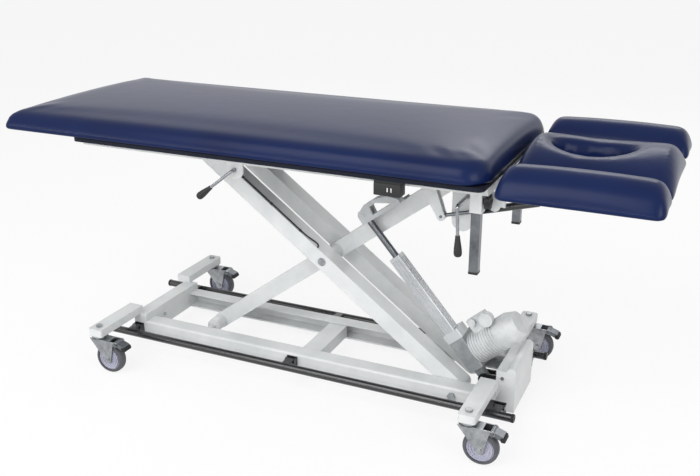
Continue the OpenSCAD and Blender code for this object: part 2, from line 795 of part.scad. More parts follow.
// Top frame: side rails, cross members and the tracks for the upper rollers
foot_overhang = 250;
side_rail_x0 = foot_x + foot_overhang;
board_head_x = main_head_x - board_head_inset;
head_member_w = 25;
head_member_x = board_head_x - head_member_w;
frame_z = deck_z - side_rail_h;
end_member_w = 40;
track_foot_x = side_rail_x0 + end_member_w;
cross_w = end_member_w;
cross_xs = [-300, 12, 300];
module top_side_rails() {
    color("#d5d7d7") both_sides() along(side_rail_x0, board_head_x)
        translate([side_rail_in, frame_z]) round_rect(side_rail_w, side_rail_h, member_r);
}
module top_cross_members() {
    color("#d0d2d2") {
        translate([side_rail_x0, -side_rail_in, frame_z])
            cube([track_foot_x - side_rail_x0, 2 * side_rail_in, side_rail_h]);
        translate([head_member_x, -side_rail_in, frame_z])
            cube([board_head_x - head_member_x, 2 * side_rail_in, side_rail_h]);
        for (x = cross_xs) both_sides() translate([x - cross_w / 2, rail_out, frame_z])
            cube([cross_w, side_rail_in - rail_out, side_rail_h]);
        translate([cross_xs[1] - cross_w / 2, -rail_in, frame_z])
            cube([cross_w, 2 * rail_in, side_rail_h]);
    }
}
module top_tracks() {
    color("#d3d5d5") both_sides() difference() {
        along(track_foot_x, head_member_x) translate([rail_in, top_z - rail_h / 2]) channel();
        translate([pivot_x, 0, top_z]) bar_across(bore_d, rail_out - rail_t - over, rail_out + over);
    }
}

// Plywood deck with a dark lacquered edge
board_r = 20;
module main_board() {
    color("#1b1f2c") translate([side_rail_x0, -table_w / 2 + board_inset, deck_z])
        linear_extrude(board_t)
            round_rect(board_head_x - side_rail_x0, table_w - 2 * board_inset, board_r);
}

// Cushions: rings of points from the underside up to the crown
// A ring is a rectangle with round corners whose sides are drawn in between the corners
corner_steps = 5;
side_steps = 5;
function ring(hx, hy, r_head, r_foot, draw) = [
    for (q = [0 : 3]) let (
        at_head = q == 0 || q == 3,
        r = max(at_head ? r_head : r_foot, over),
        r_next = max(q > 1 ? r_head : r_foot, over),
        sx = at_head ? 1 : -1,
        sy = q < 2 ? 1 : -1)
        each concat(
            [for (k = [0 : corner_steps]) let (a = 90 * q + 90 * k / corner_steps)
                [sx * (hx - r) + r * cos(a), sy * (hy - r) + r * sin(a)]],
            [for (k = [1 : side_steps - 1]) let (t = k / side_steps, d = draw * sin(180 * t))
                q % 2 == 0 ? [sx * (hx - r - (2 * hx - r - r_next) * t), sy * (hy - d)]
                           : [sx * (hx - d), sy * (hy - r) * (1 - 2 * t)]])];
ring_n = 4 * (corner_steps + side_steps);
// Side profile: how far in from the edge, and how high as a share of the height there
side_insets = [7, 1.5, 0, 1.8, 7, 16, 28, 44];
side_shares = [0, 0.12, 0.34, 0.56, 0.75, 0.89, 0.97, 1];
function bands(m, n) = [for (i = [0 : m - 2], k = [0 : n - 1])
    let (a = i * n + k, b = i * n + (k + 1) % n) each [[a, a + n, b + n], [a, b + n, b]]];
// A closed cushion: hx and hy are half its size, h its height, edge_h its height at the long
// edges, crown its rise along the middle, and insets the rings that lead to the middle
module cushion(hx, hy, r_head, r_foot, h, edge_h, crown, draw, top_shares) {
    m0 = len(side_insets);
    function dome(p) = h - (h - edge_h) * pow(p[1] / hy, 2) - crown * pow(p[0] / hx, 2);
    inner = side_insets[m0 - 1];
    low = [for (i = [0 : m0 - 1]) each
        [for (p = ring(hx - side_insets[i], hy - side_insets[i], r_head - side_insets[i],
                       r_foot - side_insets[i], draw))
            [p[0], p[1], dome(p) * side_shares[i]]]];
    top = [for (s = top_shares) each
        [for (p = ring(hx - inner, hy - inner, r_head - inner, r_foot - inner, draw))
            let (q = [p[0] * s, p[1] * s]) [q[0], q[1], dome(q)]]];
    pts = concat(low, top, [[0, 0, dome([0, 0])], [0, 0, 0]]);
    m = m0 + len(top_shares);
    peak = m * ring_n;
    polyhedron(pts, concat(
        bands(m, ring_n),
        [for (k = [0 : ring_n - 1]) [(m - 1) * ring_n + k, peak, (m - 1) * ring_n + (k + 1) % ring_n]],
        [for (k = [0 : ring_n - 1]) [k, (k + 1) % ring_n, peak + 1]]));
}
main_top_shares = [0.85, 0.65, 0.42, 0.2];
module main_cushion() {
    color("#2b3c6b") translate([(foot_x + main_head_x) / 2, 0, main_z])
        cushion(main_len / 2, table_w / 2, cushion_corner, foot_corner, cushion_h,
                cushion_h - cushion_crown, 0, side_draw, main_top_shares);
}

// Centre head pad with its face hole
pads_drop = 25;
pads_z = main_z - pads_drop;
pad_len = head_x - pads_x;
pads_mid = (head_x + pads_x) / 2;
hole_from_gap = 175;
hole_x = pads_x + hole_from_gap;
hole_end_shares = [0.6, 0.5];
hole_grow = [58, 34, 16, 6, 1, 0, 3];
hole_shares = [1, 0.985, 0.93, 0.82, 0.62, 0.35, 0];
module head_cushion() {
    hx = pad_len / 2;
    hy = head_pad_w / 2;
    m0 = len(side_insets);
    shift = hole_x - pads_mid;
    function dome(p) = head_crown_h - (head_crown_h - head_edge_h) * pow(p[1] / hy, 2);
    function angle(k) = let (p = ring(hx, hy, pad_corner, pad_corner, 0)[k]) atan2(p[1], p[0] - shift);
    low = [for (i = [0 : m0 - 1]) each
        [for (p = ring(hx - side_insets[i], hy - side_insets[i], pad_corner - side_insets[i],
                       pad_corner - side_insets[i], side_draw))
            [p[0], p[1], max(dome(p), head_edge_h) * side_shares[i]]]];
    rim = [for (j = [0 : len(hole_grow) - 1]) each
        [for (k = [0 : ring_n - 1]) let (
            p = [shift + (hole_len / 2 + hole_grow[j] * hole_end_shares[min(j, 1)]) * cos(angle(k)),
                 (hole_w / 2 + hole_grow[j]) * sin(angle(k))])
            [p[0], p[1], (dome(p) - (j > 0 ? hole_dish : 0)) * hole_shares[j]]]];
    m = m0 + len(hole_grow);
    color("#2b3c6b") translate([pads_mid, 0, pads_z]) polyhedron(concat(low, rim), concat(
        bands(m, ring_n),
        [for (k = [0 : ring_n - 1]) let (a = (m - 1) * ring_n + k, b = (m - 1) * ring_n + (k + 1) % ring_n)
            each [[a, k, (k + 1) % ring_n], [a, (k + 1) % ring_n, b]]]));
}

// Arm pads on both sides of the centre pad
arm_pad_w = (table_w - head_pad_w) / 2 - pad_gap;
arm_pad_y = (table_w - arm_pad_w) / 2;
arm_top_shares = [0.7, 0.35];
arm_pad_crown = 6;
module arm_pad() {
    color("#2b3c6b") translate([pads_mid, arm_pad_y, pads_z])
        cushion(pad_len / 2, arm_pad_w / 2, pad_corner, pad_corner, arm_pad_h, arm_edge_h, arm_pad_crown,
                side_draw / 2, arm_top_shares);
}
module near_arm_pad() {
    near_side() arm_pad();
}
module far_arm_pad() {
    translate([0, 0, far_raise]) arm_pad();
}

// Control box under the near edge of the deck, with two small raised switches
box_x0 = 250;
box_len = 75;
box_w = 35;
box_h = 45;
switch_w = 3;
switch_h = 12;
switch_t = 1.5;
switch_shares = [0.5, 0.64];
module control_box() {
    y = side_rail_in + side_rail_w;
    color("#1c1d20") near_side() {
        translate([box_x0, y, deck_z - box_h]) cube([box_len, box_w, box_h]);
        for (s = switch_shares) translate([box_x0 + s * box_len, y + box_w, deck_z - box_h / 2 - switch_h])
            cube([switch_w, switch_t, switch_h]);
    }
}

// Pins of the top frame: upper pivot bolts with their spacer bushes, and the head hinge shaft
hinge_x = main_head_x + head_gap / 2;
hinge_up = 6;
hinge_z = deck_z + hinge_up;
hinge_d = 12;
hinge_half = 226;
gas_pin_back = 171;
gas_pin_drop = 128.46;
gas_pin_x = hinge_x - gas_pin_back;
gas_pin_z = deck_z - gas_pin_drop;
gas_pin_d = 8;
gas_cyl_d = 20;
plate_t = 5;
gas_y = rail_out + plate_t + gas_cyl_d / 2 + over;
module top_pivot_pins() {
    color("#8a8d8f") {
        both_sides() translate([pivot_x, 0, top_z]) {
            bar_across(pin_d, inner_arm_y + inner_arm_w + washer_t, rail_out);
            hex_across(bolt_head_d, rail_out, rail_out + bolt_head_h);
            bar_across(bolt_head_d, outer_arm_out + washer_t / 2, rail_out - rail_t);
        }
        translate([hinge_x, 0, hinge_z]) bar_across(hinge_d, -hinge_half, hinge_half);
    }
}

// Armrest posts: square bars with a flange under the deck
flange_w = 44;
flange_t = 4;
post_r = 2;
sleeve_wall = 4;
sleeve_w = post_w + 2 * slide_fit + 2 * sleeve_wall;
sleeve_gap = 2.2;
post_x = head_member_x - sleeve_w / 2 - sleeve_gap;
post_y = head_pad_w / 2 + post_from_pad;
module armrest_posts() {
    color("#8e9194") both_sides() translate([post_x, post_y, deck_z - post_len]) {
        translate([-post_w / 2, -post_w / 2, 0]) linear_extrude(post_len)
            round_rect(post_w, post_w, post_r);
        translate([-flange_w / 2, -flange_w / 2, post_len - flange_t])
            cube([head_member_x - post_x + flange_w / 2, flange_w, flange_t]);
    }
}

// Brackets under the top frame: hinge ears, gas spring hanger, lever plates
ear_r = 8.4;
ear_t = 8;
main_ear_ys = [140, 208];
head_plate_y = rail_out;
head_plate_from_pivot = 20;
head_plate_x0 = pivot_x - head_plate_from_pivot;
head_plate_w = 58;
head_plate_drop = 168.46;
head_plate_z = deck_z - head_plate_drop;
head_lever_from_pivot = 23;
head_lever_x = pivot_x + head_lever_from_pivot;
head_lever_drop = 68.46;
head_lever_z = deck_z - head_lever_drop;
foot_lever_x = -201;
foot_lever_drop = 47.46;
foot_lever_z = deck_z - foot_lever_drop;
foot_plate_w = 54;
lever_shaft_d = 12;
hanger_w = 30;
hanger_cheek_gap = 12;
hanger_nose = [[-12, 0], [9, 7.5]];
hanger_eye_d = 24;
module under_frame_brackets() {
    color("#cfd1d1") {
        both_sides() for (y = main_ear_ys) difference() {
            across(y, y + ear_t) {
                translate([hinge_x, hinge_z]) circle(ear_r);
                polygon([[hinge_x, hinge_z + ear_r], [board_head_x, deck_z],
                         [board_head_x, frame_z + ear_t], [hinge_x, hinge_z - ear_r]]);
            }
            translate([hinge_x, 0, hinge_z]) bar_across(hinge_d, y - over, y + ear_t + over);
        }
        near_side() difference() {
            across(head_plate_y, head_plate_y + plate_t) {
                translate([head_plate_x0, head_plate_z + head_plate_w / 2])
                    square([head_plate_w, deck_z - head_plate_z - head_plate_w / 2]);
                translate([head_plate_x0 + head_plate_w / 2, head_plate_z + head_plate_w / 2])
                    circle(d = head_plate_w);
            }
            translate([head_lever_x, 0, head_lever_z])
                bar_across(lever_shaft_d + 2 * fit, head_plate_y - over, head_plate_y + plate_t + over);
            translate([pivot_x, 0, top_z])
                bar_across(bolt_head_d + 2 * slide_fit, head_plate_y - over, head_plate_y + plate_t + over);
        }
        near_side() for (s = [0, 1]) translate([0, gas_y, 0]) mirror([0, s, 0]) difference() {
            across(hanger_cheek_gap / 2, hanger_cheek_gap / 2 + plate_t) {
                translate([gas_pin_x, gas_pin_z]) circle(d = hanger_eye_d);
                polygon([[gas_pin_x - hanger_w * 2, top_z + rail_h / 2],
                         [gas_pin_x - hanger_w * 2, top_z - rail_h / 2],
                         [gas_pin_x, gas_pin_z] + hanger_nose[0],
                         [gas_pin_x, gas_pin_z] + hanger_nose[1],
                         [gas_pin_x - hanger_w / 2, top_z - rail_h / 2],
                         [gas_pin_x - hanger_w / 2, top_z + rail_h / 2]]);
            }
            translate([gas_pin_x, 0, gas_pin_z])
                bar_across(gas_pin_d, -hanger_cheek_gap, 2 * hanger_cheek_gap);
        }
        near_side() translate([gas_pin_x - 2 * hanger_w, rail_out, top_z - rail_h / 2 + rail_t])
            cube([1.5 * hanger_w, gas_y - hanger_cheek_gap / 2 - plate_t - rail_out, rail_h - 2 * rail_t]);
        near_side() difference() {
            across(side_rail_in - plate_t, side_rail_in) {
                translate([foot_lever_x - foot_plate_w / 2, foot_lever_z])
                    square([foot_plate_w, deck_z - foot_lever_z]);
                translate([foot_lever_x, foot_lever_z]) circle(d = foot_plate_w);
            }
            translate([foot_lever_x, 0, foot_lever_z])
                bar_across(lever_shaft_d + 2 * fit, side_rail_in - 2 * plate_t, side_rail_in + over);
        }
    }
}

// Head frame: a steel plate under the centre pad, its hinge ears and the gas spring's lug
head_plate_t = 8;
head_plate_inset = 8;
head_ear_y = 120;
head_plate_r = 20;
head_pin_from_hinge = 131;
head_pin_x = hinge_x + head_pin_from_hinge;
head_pin_drop = 46.46;
head_pin_z = deck_z - head_pin_drop;
hole_margin = 12;
head_lug_top = 24;
head_lug_foot = 14;
head_lug_drop = 10;
module head_frame() {
    z = pads_z - soft_gap - head_plate_t;
    x0 = pads_x + head_plate_inset / 5;
    color("#c5c8c9") difference() {
        union() {
            difference() {
                translate([x0, -head_pad_w / 2 + head_plate_inset, z]) linear_extrude(head_plate_t)
                    round_rect(head_x - head_plate_inset - x0, head_pad_w - 2 * head_plate_inset,
                               head_plate_r);
                translate([hole_x, 0, z - over]) linear_extrude(head_plate_t + 2 * over) {
                    translate([-(hole_len - hole_w) / 2, -hole_w / 2 - hole_margin])
                        square([hole_len - hole_w, hole_w + 2 * hole_margin]);
                    for (s = [-1, 1]) translate([s * (hole_len - hole_w) / 2, 0])
                        circle(d = hole_w + 2 * hole_margin);
                }
            }
            both_sides() across(head_ear_y, head_ear_y + ear_t) {
                translate([hinge_x, hinge_z]) circle(ear_r);
                polygon([[hinge_x - ear_r / 2, hinge_z - 0.85 * ear_r], [hinge_x + ear_r, hinge_z],
                         [pads_x - over, z + head_plate_t], [pads_x + 4 * ear_r, z],
                         [pads_x + 4 * ear_r, z - ear_r / 2], [pads_x, z - ear_r / 2]]);
            }
            near_side() for (s = [-1, 1]) {
                y = gas_y + s * (hanger_cheek_gap + plate_t) / 2;
                across(y - plate_t / 2, y + plate_t / 2)
                    polygon([[head_pin_x - head_lug_top, z + over], [head_pin_x + head_lug_top, z + over],
                             [head_pin_x + head_lug_foot, head_pin_z - head_lug_drop],
                             [head_pin_x - head_lug_foot, head_pin_z - head_lug_drop]]);
            }
        }
        translate([hinge_x, 0, hinge_z]) bar_across(hinge_d + 2 * fit, -hinge_half, hinge_half);
    }
}

// Gas spring of the head section: rod with a clevis pin, and the cylinder that slides on it
gas_len = norm([head_pin_x - gas_pin_x, head_pin_z - gas_pin_z]);
gas_angle = atan2(head_pin_z - gas_pin_z, head_pin_x - gas_pin_x);
gas_rod_d = 10;
gas_rod_len = 172;
gas_cyl_x0 = 112;
gas_neck = 45;
gas_bore_len = 140;
gas_eye_d = 18;
gas_eye_w = 10;
module on_gas_spring() {
    translate([gas_pin_x, -gas_y, gas_pin_z]) rotate([0, -gas_angle, 0]) children();
}
module gas_rod() {
    color("#3a3c3f") on_gas_spring() {
        bar_along(gas_rod_d, 0, gas_rod_len);
        bar_across(gas_eye_d, -gas_eye_w / 2, gas_eye_w / 2);
        bar_across(gas_pin_d - 2 * fit, -hanger_cheek_gap / 2 - plate_t - over,
                   hanger_cheek_gap / 2 + plate_t + over);
    }
}
module gas_cylinder() {
    color("#242527") on_gas_spring() difference() {
        union() {
            bar_along(gas_cyl_d, gas_cyl_x0, gas_len - gas_neck);
            bar_along(gas_rod_d, gas_cyl_x0, gas_len);
            translate([gas_len, 0, 0]) bar_across(gas_eye_d, -gas_eye_w / 2, gas_eye_w / 2);
        }
        bar_along(gas_rod_d + 2 * fit, gas_cyl_x0 - over, gas_cyl_x0 + gas_bore_len);
    }
}

// Armrest brackets: a sleeve on the post, an upright plate and a support under the arm pad
sleeve_drop = 86.46;
sleeve_z0 = deck_z - sleeve_drop;
sleeve_top_gap = 2;
member_gap = 2;
arm_plate_t = 6;
arm_support_len = 300;
arm_support_t = 6;
arm_plate_drop = 14;
arm_nose = 24;
arm_web_h = 36;
arm_plate_inset = 44;
knob_stud_d = 8;
knob_up = 32;
knob_z = sleeve_z0 + knob_up;
knob_side = 6.5;
knob_y = post_y + knob_side;
module armrest_bracket() {
    w = sleeve_w;
    h = deck_z - flange_t - sleeve_top_gap - far_raise - sleeve_z0;
    plate_y = post_y - w / 2;
    support_z = pads_z - soft_gap - arm_support_t;
    color("#cbcece") difference() {
        union() {
            translate([post_x - w / 2, post_y - w / 2, sleeve_z0]) linear_extrude(h)
                round_rect(w, w, member_r);
            across(plate_y - arm_plate_t, plate_y) {
                translate([post_x + w / 4, sleeve_z0 + arm_plate_drop])
                    square([pads_x - post_x - w / 4,
                            frame_z - member_gap - far_raise - sleeve_z0 - arm_plate_drop]);
                translate([post_x + w / 2 + arm_nose, sleeve_z0 + arm_plate_drop]) circle(arm_plate_drop);
                translate([board_head_x + member_gap, support_z - arm_web_h])
                    square([pads_x + over + arm_support_len - board_head_x - member_gap,
                            arm_web_h + arm_support_t]);
            }
            translate([pads_x + over, plate_y - arm_plate_t, support_z])
                cube([arm_support_len, table_w / 2 - plate_y - arm_plate_inset, arm_support_t]);
        }
        translate([post_x - post_w / 2 - slide_fit, post_y - post_w / 2 - slide_fit, sleeve_z0 - over])
            cube([post_w + 2 * slide_fit, post_w + 2 * slide_fit, h + 2 * over]);
        translate([post_x, knob_y, knob_z]) bar_along(knob_stud_d + 2 * fit, 0, w);
    }
}
module near_armrest_bracket() {
    near_side() armrest_bracket();
}
module far_armrest_bracket() {
    translate([0, 0, far_raise]) armrest_bracket();
}

// Star knobs that clamp the sleeves
star_lobes = 5;
star_r = 15.6;
lobe_r = 6.2;
star_t = 15;
star_neck = 6;
module star_knob() {
    x0 = post_x + post_w / 2 + slide_fit + sleeve_wall;
    color("#161719") translate([x0, knob_y, knob_z]) {
        bar_along(knob_stud_d, -sleeve_wall, star_neck + star_t);
        bar_along(2 * knob_stud_d, over, star_neck + over);
        along(star_neck, star_neck + star_t) {
            circle(star_r - lobe_r / 2);
            for (k = [0 : star_lobes - 1]) rotate(k * 360 / star_lobes) {
                translate([star_r, 0]) circle(lobe_r);
                translate([0, -lobe_r]) square([star_r, 2 * lobe_r]);
            }
        }
    }
}
module near_star_knob() {
    near_side() star_knob();
}
module far_star_knob() {
    translate([0, 0, far_raise]) star_knob();
}

// Levers: a shaft across the table, a chrome rod and a black drop-shaped grip
lever_out = 250;
grip_len = 58;
grip_shares = [[0, 0], [0.55, 0], [0.66, 0.2], [1, 0.8], [0.94, 0.92], [0.7, 1], [0, 1]];
module grip() {
    rotate_extrude() polygon([for (p = grip_shares) [p[0] * grip_d / 2, p[1] * grip_len]]);
}
module lever(x, z, inner_y, angle, rod_l) {
    translate([x, 0, z]) {
        bar_across(lever_shaft_d, -lever_out, -inner_y);
        translate([0, -lever_out, 0]) sphere(d = lever_shaft_d);
        translate([0, -lever_out, 0]) rotate([0, 180 + angle, 0]) {
            cylinder(h = rod_l, d = lever_d);
            translate([0, 0, rod_l - lever_d]) grip();
        }
    }
}
head_lever_angle = -3;
head_lever_rod = 88;
module head_lever() {
    color("#6f7275")
        lever(head_lever_x, head_lever_z, head_plate_y - plate_t, head_lever_angle, head_lever_rod);
}
foot_lever_angle = 52;
foot_lever_rod = 98;
foot_lever_out = 276;
module foot_lever() {
    color("#6f7275") translate([0, lever_out - foot_lever_out, 0])
        lever(foot_lever_x, foot_lever_z, side_rail_in - plate_t - foot_lever_out + lever_out,
              foot_lever_angle, foot_lever_rod);
}

base_rails();
base_cross_members();
head_cross_beam();
caster_outriggers();
base_bolts();
foot_bar_brackets();
actuator_mount();
near_foot_bar();
far_foot_bar();
for (i = [0 : 3]) {
    at_caster(i) caster_fork();
    at_caster(i) tyre();
    at_caster(i) hub();
    at_caster(i) brake_pedal();
}
near_outer_arm();
far_outer_arm();
arm_shafts();
arm_cable();
inner_arm();
inner_cross_tubes();
actuator_bracket();
upper_rollers();
lower_rollers();
actuator_rod();
actuator_tube();
actuator_gearbox();
actuator_lug();
actuator_motor();
top_side_rails();
top_cross_members();
top_tracks();
main_board();
main_cushion();
control_box();
top_pivot_pins();
armrest_posts();
under_frame_brackets();
head_frame();
head_cushion();
gas_cylinder();
gas_rod();
near_armrest_bracket();
far_armrest_bracket();
near_arm_pad();
far_arm_pad();
near_star_knob();
far_star_knob();
head_lever();
foot_lever();
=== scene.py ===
"""A hi-lo treatment table: its pads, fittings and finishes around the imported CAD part, in metres."""

import json
import math

import bmesh
import bpy
import numpy as np
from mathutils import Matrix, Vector


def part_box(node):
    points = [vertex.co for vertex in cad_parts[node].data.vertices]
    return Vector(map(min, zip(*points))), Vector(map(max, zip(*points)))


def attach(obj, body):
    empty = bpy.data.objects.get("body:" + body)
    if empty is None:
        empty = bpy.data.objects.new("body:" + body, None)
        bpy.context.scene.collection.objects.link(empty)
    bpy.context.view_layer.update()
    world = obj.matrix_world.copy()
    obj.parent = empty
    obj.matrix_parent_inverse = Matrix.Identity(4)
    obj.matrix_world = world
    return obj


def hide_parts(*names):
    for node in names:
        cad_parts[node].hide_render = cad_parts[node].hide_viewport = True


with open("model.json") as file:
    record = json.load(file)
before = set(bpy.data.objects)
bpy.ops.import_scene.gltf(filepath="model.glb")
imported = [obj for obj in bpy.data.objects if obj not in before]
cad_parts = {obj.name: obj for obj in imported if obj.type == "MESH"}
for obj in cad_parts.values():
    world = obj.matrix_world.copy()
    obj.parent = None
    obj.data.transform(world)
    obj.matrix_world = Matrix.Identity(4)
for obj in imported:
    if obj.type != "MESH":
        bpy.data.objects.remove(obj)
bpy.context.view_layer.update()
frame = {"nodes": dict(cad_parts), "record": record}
NODES = frame["nodes"]
MM = 0.001
MM_PER_M = 1000
JOINTS = {joint["name"]: joint for joint in frame["record"]["behaviour"]["joints"]}


def rgb(text):
    """sRGB hex to the linear colour that a socket takes."""
    parts = [int(text[i : i + 2], 16) / 255 for i in (1, 3, 5)]
    return [c / 12.92 if c <= 0.04045 else ((c + 0.055) / 1.055) ** 2.4 for c in parts] + [1.0]


def add(tree, kind, settings=None, inputs=None):
    """One node with its settings; an input is a value or the socket that feeds it."""
    made = tree.nodes.new(kind)
    for name, value in (settings or {}).items():
        setattr(made, name, value)
    for name, value in (inputs or {}).items():
        if isinstance(value, bpy.types.NodeSocket):
            tree.links.new(value, made.inputs[name])
        else:
            made.inputs[name].default_value = value
    return made


def start_material(name):
    """A material with an empty tree, its output, and the object's own coordinates."""
    mat = bpy.data.materials.new(name)
    mat.use_nodes = True
    tree = mat.node_tree
    tree.nodes.clear()
    out = add(tree, "ShaderNodeOutputMaterial")
    place = add(tree, "ShaderNodeTexCoord").outputs["Object"]
    return mat, tree, out, place


def ramp(tree, feed, stops):
    """A colour ramp over stops of (place, hex colour)."""
    made = add(tree, "ShaderNodeValToRGB", None, {"Fac": feed})
    band = made.color_ramp
    while len(band.elements) < len(stops):
        band.elements.new(0.5)
    for element, (at, colour) in zip(band.elements, stops):
        element.position = at
        element.color = rgb(colour)
    return made.outputs["Color"]


def painted(name, colours, grain_mm, peel, rough, coat=0.0, metallic=0.0, edge_mm=1.2,
            mottle_mm=90.0, spec=0.5):
    """A coated or cast surface: mottled colour, a grain of its own size, softened edges."""
    mat, tree, out, place = start_material(name)
    mottle = add(tree, "ShaderNodeTexNoise", None,
                 {"Vector": place, "Scale": MM_PER_M / mottle_mm, "Detail": 4.0, "Roughness": 0.6})
    grain = add(tree, "ShaderNodeTexNoise", None,
                {"Vector": place, "Scale": MM_PER_M / grain_mm, "Detail": 2.0})
    rounded = add(tree, "ShaderNodeBevel", {"samples": 4}, {"Radius": edge_mm * MM})
    bump = add(tree, "ShaderNodeBump", None,
               {"Height": grain.outputs["Fac"], "Strength": peel, "Distance": grain_mm * MM * 0.3,
                "Normal": rounded.outputs["Normal"]})
    spread = add(tree, "ShaderNodeMapRange", None,
                 {"Value": mottle.outputs["Fac"], "From Min": 0.3, "From Max": 0.7,
                  "To Min": rough * 0.85, "To Max": rough * 1.15})
    shader = add(tree, "ShaderNodeBsdfPrincipled", None,
                 {"Base Color": ramp(tree, mottle.outputs["Fac"], [(0.35, colours[0]), (0.65, colours[1])]),
                  "Roughness": spread.outputs["Result"], "Metallic": metallic,
                  "Coat Weight": coat, "Coat Roughness": 0.15, "Specular IOR Level": spec,
                  "Normal": bump.outputs["Normal"]})
    tree.links.new(shader.outputs["BSDF"], out.inputs["Surface"])
    return mat


LEATHER_GRAIN_MM = 2.6
CREASE_MM = 60
TONE_MM = 240


def upholstery(name):
    """Calendered PVC upholstery vinyl on foam: a navy skin, an embossed leather grain, a soft shine."""
    mat, tree, out, place = start_material(name)
    cells = add(tree, "ShaderNodeTexVoronoi", {"feature": "DISTANCE_TO_EDGE"},
                {"Vector": place, "Scale": MM_PER_M / LEATHER_GRAIN_MM, "Randomness": 1.0})
    creased = add(tree, "ShaderNodeTexNoise", None,
                  {"Vector": place, "Scale": MM_PER_M / CREASE_MM, "Detail": 3.0})
    pull = add(tree, "ShaderNodeTexNoise", None,
               {"Vector": place, "Scale": MM_PER_M / TONE_MM, "Detail": 2.0})
    fine = add(tree, "ShaderNodeBump", None,
               {"Height": cells.outputs["Distance"], "Strength": 0.06, "Distance": 0.3 * MM})
    broad = add(tree, "ShaderNodeBump", None,
                {"Height": creased.outputs["Fac"], "Strength": 0.10, "Distance": 5 * MM,
                 "Normal": fine.outputs["Normal"]})
    shader = add(tree, "ShaderNodeBsdfPrincipled", None,
                 {"Base Color": ramp(tree, pull.outputs["Fac"], [(0.3, "#0d1a40"), (0.7, "#112049")]),
                  "Roughness": 0.28, "Specular IOR Level": 0.13,
                  "Normal": broad.outputs["Normal"]})
    tree.links.new(shader.outputs["BSDF"], out.inputs["Surface"])
    return mat


def spray_neck(mat, start, ahead, length, colour):
    """Sprays a casting's neck in another colour, up to a length from start, as its block stays bare."""
    tree = mat.node_tree
    shader = next(node for node in tree.nodes if node.type == "BSDF_PRINCIPLED")
    place = next(node for node in tree.nodes if node.type == "TEX_COORD").outputs["Object"]
    bare = shader.inputs["Base Color"].links[0].from_socket
    offset = add(tree, "ShaderNodeVectorMath", {"operation": "SUBTRACT"}, {0: place, 1: start})
    along = add(tree, "ShaderNodeVectorMath", {"operation": "DOT_PRODUCT"},
                {0: offset.outputs[0], 1: ahead})
    on_neck = add(tree, "ShaderNodeMath", {"operation": "LESS_THAN"},
                  {0: along.outputs["Value"], 1: length})
    both = add(tree, "ShaderNodeMix", {"data_type": "RGBA"},
               {0: on_neck.outputs[0], 6: bare, 7: rgb(colour)})
    tree.links.new(both.outputs[2], shader.inputs["Base Color"])


VINYL = upholstery("navy_upholstery_vinyl")
FRAME_PAINT = painted("pale_powder_coat", ("#c9cccd", "#d6d8d8"), 1.4, 0.12, 0.42, coat=0.15, edge_mm=2.0)
GREY_PAINT = painted("grey_powder_coat", ("#a9acae", "#b4b7b9"), 1.4, 0.12, 0.45, edge_mm=1.5)
ZINC = painted("zinc_plated_steel", ("#8f9295", "#aeb1b3"), 6.0, 0.10, 0.36, metallic=1.0, mottle_mm=18.0)
DARK_STEEL = painted("dark_ground_steel", ("#5f6266", "#7b7e82"), 3.0, 0.06, 0.30, metallic=1.0,
                     mottle_mm=40.0)
BLACK_PAINT = painted("black_gloss_paint", ("#141517", "#1c1d20"), 1.2, 0.10, 0.25, coat=0.4)
BLACK_PLASTIC = painted("black_moulded_nylon", ("#131416", "#1d1e20"), 0.9, 0.18, 0.5)
BLACK_RUBBER = painted("black_moulded_rubber", ("#0f1011", "#1a1b1c"), 1.1, 0.25, 0.75)
TREAD = painted("grey_rubber_tread", ("#46484c", "#54565b"), 1.5, 0.2, 0.65, mottle_mm=30.0)
WHEEL_PLASTIC = painted("lavender_grey_polypropylene", ("#a3a4b6", "#b2b2c2"), 1.2, 0.08, 0.38)
CHROME = painted("chromed_steel", ("#8d9095", "#a9acb0"), 4.0, 0.03, 0.16, metallic=1.0, mottle_mm=60.0)
PALE_PLASTIC = painted("pale_moulded_abs", ("#cfd0d0", "#dcdddd"), 1.0, 0.08, 0.4)
ALLOY = painted("silver_sprayed_casting", ("#bdc0c1", "#cdcfd0"), 1.6, 0.35, 0.45, mottle_mm=30.0)
DARK_ALLOY = painted("bare_grey_casting", ("#85888b", "#989b9d"), 1.8, 0.3, 0.42, metallic=0.3,
                     mottle_mm=25.0)
TUBE_ALLOY = painted("anodised_aluminium", ("#b2b5b8", "#c4c6c8"), 2.0, 0.05, 0.34, metallic=0.6)
# the board's edge: dark like the navy vinyl wrapped over it, and painted darker still with the shade it
# lies in under the cushion's roll
PLYWOOD = painted("board_edge_dark_with_painted_shade", ("#12151f", "#191d2a"), 2.0, 0.2, 0.6, mottle_mm=8.0, spec=0.15)

# the gearbox's neck is sprayed silver up to this far from the push rod's pin
GEARBOX_NECK_M = 0.462
spray_neck(DARK_ALLOY, JOINTS["push_rod_pivot"]["pos_m"], JOINTS["actuator_stroke"]["axis"],
           GEARBOX_NECK_M, "#c3c6c7")

FINISH = {
    "base_bolts": ZINC, "foot_bar_brackets": BLACK_PAINT, "actuator_mount": BLACK_PAINT,
    "near_foot_bar": BLACK_PAINT, "far_foot_bar": BLACK_PAINT, "arm_shafts": ZINC,
    "arm_cable": BLACK_RUBBER,
    "actuator_bracket": GREY_PAINT, "upper_rollers": BLACK_PLASTIC, "lower_rollers": BLACK_PLASTIC,
    "actuator_rod": DARK_STEEL, "actuator_tube": TUBE_ALLOY, "actuator_gearbox": DARK_ALLOY,
    "actuator_lug": DARK_ALLOY, "actuator_motor": ALLOY,
    "main_board": PLYWOOD, "control_box": BLACK_PLASTIC, "top_pivot_pins": ZINC,
    "armrest_posts": DARK_STEEL,
    "head_frame": GREY_PAINT, "gas_cylinder": BLACK_PAINT, "gas_rod": DARK_STEEL,
    "near_star_knob": BLACK_PLASTIC, "far_star_knob": BLACK_PLASTIC, "head_lever": DARK_STEEL,
    "foot_lever": DARK_STEEL, "main_cushion": VINYL, "head_cushion": VINYL, "near_arm_pad": VINYL,
    "far_arm_pad": VINYL,
}

